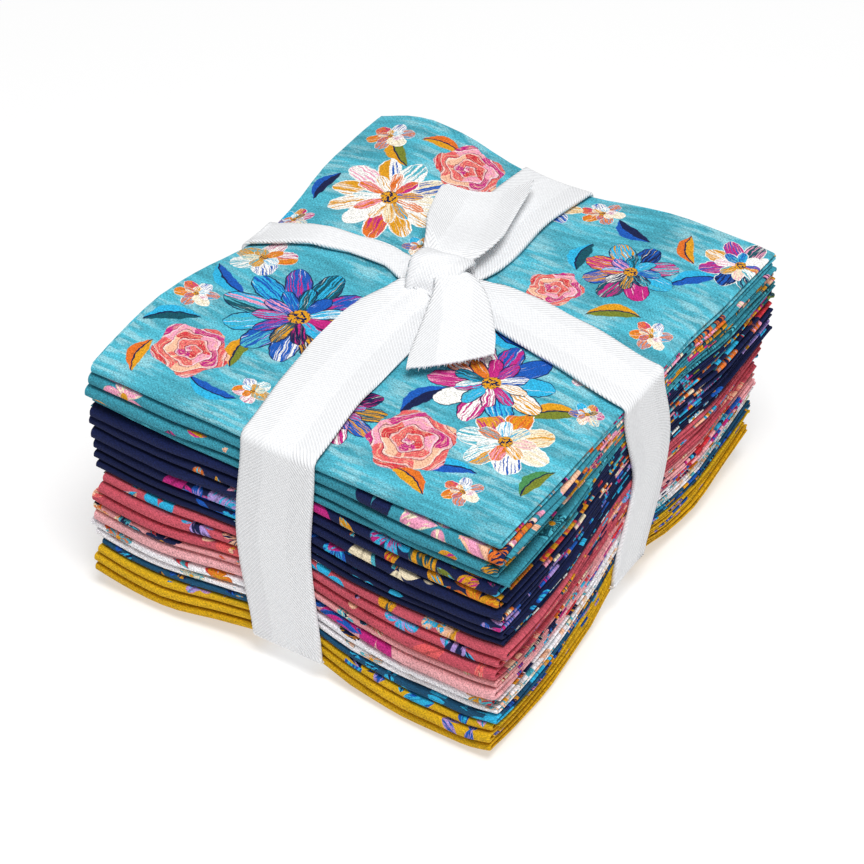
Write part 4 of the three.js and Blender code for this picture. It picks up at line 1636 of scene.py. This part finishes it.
@dataclass
class Ribbon:
    """The tape round the bundle: two bands, the knot's wrap and two free ends.

    Attributes:
        shape: The tied stack's shape.
        width: The tape's width in mm.
        thickness: Its thickness in mm.
        lift: Its middle's height over the cloth, in mm.
        inset: How far its outside lies within the square stack's faces, in mm.
        bends: The radius of its turns over the edges, along X and along Y, in mm.
        gathered: The width that shows at the knot, in mm.
        knot_rise: How much higher it lies at the knot, in mm.
        knot_reach: How far from the knot that ends, in mm.
        hidden: How much flat tape is hidden in the knot before each band, in mm.
        pleat: The depth of the bands' pleats at the knot, in mm.
        cup: How far the bands' sides stand up on top, in mm.
        knee: Where the arms' gathers open out, in mm from the knot.
        columns: How many points there are across the tape.
        knot: The knot's place in mm.
        roll: The radius of a side that is tucked under, in mm.
        rows: How many rows of points an arm has on top, round an edge, on a face and below.
        fray_count: How many thread ends a cut edge has.
        fray_length: Their least and greatest length in mm.
        fray_thickness: Half of their least and greatest thickness in mm.
        length: The length of the tape so far, in mm.
        strips: The middle points, flat places and facing of each strip.
        threads: The corners of each thread end.
    """

    shape: TiedShape
    width: float = 25.4
    thickness: float = 0.42
    lift: float = 0.55
    inset: float = 2.0
    bends: tuple[float, float] = (1.1, 1.9)
    gathered: float = 11.0
    knot_rise: float = 1.6
    knot_reach: float = 11.0
    hidden: float = 20.0
    pleat: float = 0.55
    cup: float = 0.12
    knee: float = 18.0
    columns: int = 31
    knot: tuple[float, float] = (-5.5, 6.5)
    roll: float = 0.5
    rows: tuple[int, int, int, int] = (46, 8, 28, 24)
    fray_count: int = 70
    fray_length: tuple[float, float] = (0.4, 1.5)
    fray_thickness: tuple[float, float] = (0.07, 0.13)
    length: float = 0.0
    strips: list[tuple[np.ndarray, np.ndarray, np.ndarray]] = field(default_factory=list)
    threads: list[tuple[np.ndarray, ...]] = field(default_factory=list)

    def across_columns(self) -> np.ndarray:
        """Places of the columns across the tape, from -1 to 1."""
        return np.linspace(-1.0, 1.0, self.columns)[None, :]

    def profile(self, half: np.ndarray) -> tuple[np.ndarray, np.ndarray]:
        """A cross-section of the tape whose sides are tucked under where it looks narrow.

        Args:
            half: Half of the width that shows, for each row, in mm.

        Returns:
            Places across and heights of the columns, for each row, in mm.
        """
        arc = self.across_columns() * self.width / 2
        half = np.minimum(half, self.width / 2)[:, None]
        over = np.maximum(np.abs(arc) - half, 0.0)
        bend = np.minimum(over / self.roll, math.pi)
        back = np.maximum(over - math.pi * self.roll, 0.0)
        across = np.minimum(np.abs(arc), half) + self.roll * np.sin(bend) - back
        height = -self.roll * (1 - np.cos(bend)) + 0.05 * back
        tucked = np.clip((self.width / 2 - half) / 1.5, 0.0, 1.0)
        return np.sign(arc) * across, height + 2 * self.roll * tucked

    def add_strip(self, centres: np.ndarray, across: np.ndarray, normal: np.ndarray, half: np.ndarray,
                  relief: np.ndarray, start: float) -> np.ndarray:
        """Sweeps the tape's section along a path.

        Args:
            centres: The path, in mm.
            across: Unit directions of the tape's width.
            normal: Unit directions out of the tape's face.
            half: Half of the width that shows, in mm.
            relief: Extra height of each point, rows by columns, in mm.
            start: Where the strip starts along the flat tape, in mm.

        Returns:
            The middle surface's points, rows by columns by 3.
        """
        place, height = self.profile(half)
        height = height + relief
        points = centres[:, None] + across[:, None] * place[..., None] + normal[:, None] * height[..., None]
        steps = np.linalg.norm(np.diff(centres, axis=0), axis=1)
        run = start + np.concatenate([[0.0], np.cumsum(steps)])
        flat = np.stack(np.broadcast_arrays(self.across_columns() * self.width / 2, run[:, None]), -1)
        self.length += run[-1] - run[0]
        self.strips.append((points, flat, normal))
        return points

    def arm_path(self, side: Side) -> tuple[np.ndarray, ...]:
        """The path of one arm from the knot to the middle of the underside.

        Args:
            side: The side that the arm runs down.

        Returns:
            Distances along the arm's axis, heights, places across, half widths, and the share of each
            row that lies on top.
        """
        arm, (axis, sign) = ARMS[side], side.value
        lines = (self.shape.x_lines, self.shape.y_lines)[axis]
        outer = abs(lines[1] if sign < 0 else lines[4])
        bend = self.bends[axis]
        face = (PANEL, THIRD)[axis] / 2 - self.inset + self.lift
        flat_end = face - bend

        def level(height: Callable[..., np.ndarray], off: np.ndarray, s: np.ndarray) -> np.ndarray:
            """Reads a face's height at places across and along the arm."""
            return height(off, sign * s) if axis else height(sign * s, off)

        top_edge = float(level(self.shape.top_at, np.array(arm.edge.off), np.array(flat_end))) + self.lift
        low_edge = float(level(self.shape.bottom_at, np.array(arm.under.off), np.array(flat_end))) - self.lift
        start, drop = sign * self.knot[axis], top_edge - low_edge
        on_top, on_turn, on_face, below = self.rows
        s_top = np.linspace(start, flat_end, on_top)
        turn = np.linspace(0, math.pi / 2, on_turn)[1:]
        s_turn, z_turn = flat_end + bend * np.sin(turn), top_edge - bend * (1 - np.cos(turn))
        z_face = np.linspace(top_edge - bend, low_edge + bend, on_face)[1:]
        s_low, z_low = flat_end + bend * np.cos(turn), low_edge + bend * (1 - np.sin(turn))
        s_under = np.linspace(flat_end, 0.0, below)[1:]
        s = np.concatenate([s_top, s_turn, np.full(len(z_face), face), s_low, s_under])
        top_length = flat_end - start
        low_start = top_length + drop
        # The tape's length to each row. The turns cut the corners short.
        far = np.concatenate([
            s_top - start,
            top_length + bend * turn,
            top_length + bend * 1.57 + (top_edge - bend - z_face),
            low_start - 0.86 * bend + bend * turn,
            low_start + 0.7 * bend + flat_end - s_under,
        ])
        keys = [0.0, self.knee, outer - start, top_length, top_length + drop / 2, low_start,
                low_start + flat_end - outer, low_start + flat_end + 5.0]
        gathered = Stop(self.knot[1 - axis], self.gathered)
        stops = [gathered, arm.knee, arm.outer, arm.edge, arm.middle, arm.under, arm.under, arm.under]
        place = through(keys, [stop.off for stop in stops], far)
        wide = through(keys, [stop.width for stop in stops], far)
        z_top = level(self.shape.top_at, place[:on_top], s_top) + self.lift
        z_top = z_top + self.knot_rise * (1 - ease((s_top - start) / self.knot_reach))
        z_under = level(self.shape.bottom_at, place[-len(s_under):], s_under) - self.lift
        z_under = np.maximum(z_under, self.thickness / 2)
        z = np.concatenate([z_top, z_turn, z_face, z_low, z_under])
        topness = np.zeros(len(s))
        topness[:on_top] = 1.0
        topness[on_top:on_top + len(turn)] = 1 - turn / turn[-1]
        return sign * s, z, place, wide / 2, topness

    def band(self, first: Side, second: Side) -> None:
        """Adds a band round the bundle, from the knot down one arm and up the other.

        Args:
            first: The side that it starts down.
            second: The side that it comes up.
        """
        near, far = self.arm_path(first), self.arm_path(second)
        s, z, off, half, on_top = (np.concatenate([a, b[-2::-1]]) for a, b in zip(near, far))
        axis = first.value[0]
        centres = np.stack([off, s, z] if axis else [s, off, z], -1)
        level = np.eye(3)[1 - axis]
        tangent = unit(np.gradient(centres, axis=0))
        normal = unit(np.cross(tangent, level))
        middle = np.array([0.0, 0.0, self.shape.stack / 2])
        normal *= np.sign(np.einsum("ij,ij->i", normal, centres - middle))[:, None]
        across = np.cross(normal, tangent)
        across *= np.sign(across @ level)[:, None]
        columns = self.across_columns()
        row = np.arange(len(s))
        near_knot = np.exp(-((np.minimum(row, row[::-1]) / 9.0) ** 2))[:, None]
        relief = self.pleat * near_knot * np.sin(9.0 * columns + 1.0)
        relief = relief + self.cup * on_top[:, None] * columns**2
        points = self.add_strip(centres, across, normal, half, relief, self.length + self.hidden)
        own = self.shape.top_at(points[..., 0], points[..., 1])
        level_top = self.shape.top_at(centres[:, 0], centres[:, 1])[:, None]
        points[..., 2] += (own - level_top) * on_top[:, None]
        points[..., 2] = np.maximum(points[..., 2], self.thickness * 0.6)

    def path(self, strip: Strip) -> tuple[np.ndarray, ...]:
        """A smooth path through a loose strip's table.

        Args:
            strip: The strip.

        Returns:
            Each row's place in the table, its middle, the directions of its width and of its face, its
            half width and its cup.
        """
        keys = range(len(strip.rows))
        at = np.linspace(0, keys[-1], strip.count)
        x, y, rise, angle, width, cup = (
            through(keys, [getattr(row, name) for row in strip.rows], at)
            for name in ("x", "y", "rise", "angle", "width", "cup")
        )
        centres = np.stack([x, y, self.shape.stack + rise], -1)
        turn = np.radians(angle)
        across = np.stack([np.cos(turn), np.sin(turn), np.zeros(strip.count)], -1)
        normal = unit(np.cross(np.gradient(centres, axis=0), across))
        return at, centres, across, normal, width / 2, cup[:, None]

    def free_end(self, strip: Strip) -> None:
        """Adds a free end, gathered at the knot and frayed at its cut edge.

        Args:
            strip: The free end.
        """
        at, centres, across, normal, half, cup = self.path(strip)
        normal *= np.sign(normal[:, 2:3] + 1e-9)
        columns = self.across_columns()
        gather = np.exp(-((at / 2.2) ** 2))[:, None]
        relief = cup * columns**2 + strip.crease * gather * np.sin(6.0 * columns + 0.8)
        points = self.add_strip(centres, across, normal, half, relief, strip.start)
        self.fray(points[-1], points[-1] - points[-2], normal[-1])

    def wrap(self, strip: Strip) -> None:
        """Adds the turn of tape over the crossing, gathered at both ends.

        Args:
            strip: The turn of tape.
        """
        at, centres, across, normal, half, cup = self.path(strip)
        inside = np.array([*self.knot, self.shape.stack])
        normal *= np.sign(np.einsum("ij,ij->i", normal, centres - inside))[:, None]
        columns = self.across_columns()
        ends = (np.abs(at / at[-1] - 0.5)[:, None] * 2) ** 2
        gathers = strip.crease * ends * np.sin(11.0 * columns + 0.6)
        gathers = gathers + 0.16 * np.sin(7.0 * columns + 3.0 * at[:, None])
        self.add_strip(centres, across, normal, half, cup * columns**2 + gathers, strip.start)

    def fray(self, edge: np.ndarray, outward: np.ndarray, normal: np.ndarray) -> None:
        """Adds loose thread ends along a cut edge.

        Args:
            edge: The cut edge's points, in mm.
            outward: The strip's direction at each of them.
            normal: The tape's normal there.
        """
        dice = np.random.default_rng(len(self.threads) + 7)
        side, outward = unit(np.gradient(edge, axis=0)), unit(outward)
        for place in dice.uniform(0.0, len(edge) - 1.001, self.fray_count):
            at = int(place)
            base = edge[at] + (edge[at + 1] - edge[at]) * (place - at)
            lean = outward[at] + side[at] * dice.normal(0.0, 0.35) + normal * dice.normal(0.0, 0.2)
            tip = base + lean * dice.uniform(*self.fray_length)
            thick = dice.uniform(*self.fray_thickness)
            root, aside = base - outward[at] * 0.4, side[at] * thick
            self.threads.append((root + aside, root - aside, root + normal * thick, tip))

    def thread_ends(self) -> bpy.types.Object:
        """Makes the loose thread ends as closed spikes.

        Returns:
            One object with all of them.
        """
        points = np.array(self.threads).reshape(-1, 3) * MM
        faces = [tuple(4 * i + k for k in corner) for i in range(len(self.threads))
                 for corner in ((0, 2, 1), (0, 1, 3), (1, 2, 3), (2, 0, 3))]
        mesh = bpy.data.meshes.new("thread_ends")
        mesh.from_pydata(points.tolist(), [], faces)
        for name in ("Cloth", "OFBake"):
            layer = mesh.uv_layers.new(name=name)
            layer.data.foreach_set("uv", np.full(len(mesh.loops) * 2, BAKE_SPOT))
        return placed("thread_ends", mesh)

    def build(self) -> bpy.types.Object:
        """Makes the whole ribbon as one piece.

        Returns:
            The piece.
        """
        self.band(Side.FRONT, Side.BACK)
        self.band(Side.RIGHT, Side.LEFT)
        self.wrap(KNOT_WRAP)
        self.free_end(FRONT_TAIL)
        self.free_end(BACK_TAIL)
        parts = []
        for number, (points, flat, facing) in enumerate(self.strips):
            normal = unit(np.cross(np.gradient(points, axis=0), np.gradient(points, axis=1)))
            normal *= np.sign(np.einsum("ij,ij->i", normal[:, self.columns // 2], facing).sum())
            bake = flat - flat.min((0, 1))
            bake = bake / (self.width * len(self.strips) * 1.1, bake[..., 1].max())
            bake[..., 0] += number / len(self.strips) + BAKE_MARGIN * (number + 0.5) / len(self.strips)
            half = normal * self.thickness / 2
            parts.append(closed_sheet(f"strip_{number}", points + half, points - half, flat, bake))
            LOG.info("ribbon strip %d: %d faces", number, len(parts[-1].data.polygons))
        ribbon = parts[0]
        parts.append(self.thread_ends())
        with bpy.context.temp_override(active_object=ribbon, selected_editable_objects=parts):
            bpy.ops.object.join()
        ribbon.name = ribbon.data.name = "ribbon_tape"
        ribbon.data.materials.append(TapeFinish().material())
        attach(ribbon, "root")
        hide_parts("ribbon")
        self.width * MM
        return ribbon


# ---- The studio --------------------------------------------------------------------------------


@dataclass(frozen=True)
class Lamp:
    """A soft square lamp: its place and size in metres and its power in watts."""

    place: tuple[float, float, float]
    size: float
    power: float


@dataclass(frozen=True)
class PaperFinish:
    """Plain pale paper with a faint glow of its own."""

    base: float = 0.55
    glow: float = 0.47
    roughness: float = 0.95

    def material(self) -> bpy.types.Material:
        """Makes the paper's material.

        Returns:
            The material.
        """
        desk = Desk("floor_paper")
        shader = desk.node("BsdfPrincipled", {}, Base_Color=(self.base,) * 3 + (1.0,),
                           Roughness=self.roughness, Specular_IOR_Level=0.0,
                           Emission_Color=WHITE, Emission_Strength=self.glow)
        desk.node("OutputMaterial", {}, Surface=shader.outputs[0])
        return desk.material


@dataclass
class Studio:
    """The floor, the soft light and the camera.

    Attributes:
        azimuth: The camera's direction from the bundle, in degrees from +X.
        elevation: Its elevation in degrees.
        roll: Its roll in degrees.
        distance: Its distance in metres from a point over the frame's origin.
        height: That point's height in metres.
        focal: The focal length in pixels.
        picture: The picture's width in pixels.
        axis_at: Where the lens points, in pixels from that point.
        sky: The sky's strength.
        lamp: The lamp.
        reach: Half of the floor's width in metres.
    """

    azimuth: float = -59.812
    elevation: float = 39.651
    roll: float = 1.943
    distance: float = 0.96847
    height: float = 0.042
    focal: float = 3341.75
    picture: float = 864.0
    axis_at: tuple[float, float] = (0.816, -19.225)
    sky: float = 0.38
    lamp: Lamp = Lamp((0.32, -0.36, 1.36), 0.55, 16.4)
    reach: float = 4.0

    def camera(self) -> None:
        """Makes the camera."""
        a, e, r = (math.radians(v) for v in (self.azimuth, self.elevation, self.roll))
        back = Vector((math.cos(a) * math.cos(e), math.sin(a) * math.cos(e), math.sin(e)))
        right = Vector((-math.sin(a), math.cos(a), 0.0))
        up = back.cross(right)
        right, up = right * math.cos(r) + up * math.sin(r), up * math.cos(r) - right * math.sin(r)
        aim = back + right * (self.axis_at[0] / self.focal) - up * (self.axis_at[1] / self.focal)
        aim.normalize()
        side = (right - aim * right.dot(aim)).normalized()
        turn = Matrix((side, aim.cross(side), aim)).transposed()
        data = bpy.data.cameras.new("camera")
        data.lens = self.focal / self.picture * data.sensor_width
        data.clip_start, data.clip_end = 0.05, 20.0
        camera = placed("camera", data)
        place = back * self.distance + Vector((0, 0, self.height))
        camera.matrix_world = Matrix.Translation(place) @ turn.to_4x4()
        bpy.context.scene.camera = camera

    def floor(self) -> None:
        """Makes the plain pale floor."""
        mesh = bpy.data.meshes.new("floor")
        corners = [(x * self.reach, y * self.reach, 0.0) for x, y in ((-1, -1), (1, -1), (1, 1), (-1, 1))]
        mesh.from_pydata(corners, [], [(0, 1, 2, 3)])
        mesh.materials.append(PaperFinish().material())
        placed("floor", mesh)

    def light(self) -> None:
        """Makes the sky and the lamp."""
        world = bpy.data.worlds.new("studio")
        world.use_nodes = True
        world.node_tree.nodes["Background"].inputs[0].default_value = WHITE
        world.node_tree.nodes["Background"].inputs[1].default_value = self.sky
        bpy.context.scene.world = world
        bpy.context.scene.view_settings.view_transform = "Standard"
        data = bpy.data.lights.new("lamp_0", "AREA")
        data.energy, data.size = self.lamp.power, self.lamp.size
        lamp = placed("lamp_0", data)
        lamp.location = self.lamp.place
        lamp.rotation_mode = "QUATERNION"
        lamp.rotation_quaternion = Vector(self.lamp.place).to_track_quat("Z", "Y")

    def build(self) -> None:
        """Makes the whole studio."""
        self.camera()
        self.floor()
        self.light()


def main() -> None:
    """Builds the scene and reports each piece."""
    logging.basicConfig(level=logging.INFO, format="%(name)s: %(message)s")
    Studio().build()
    shape = TiedShape(stack=sum(cut.pitch for cut in CUTS))
    cuts = FoldedCuts(shape).build()
    ribbon = Ribbon(shape).build()
    LOG.info("%d cuts and %s", len(cuts), ribbon.name)


if __name__ == "__main__":
    main()
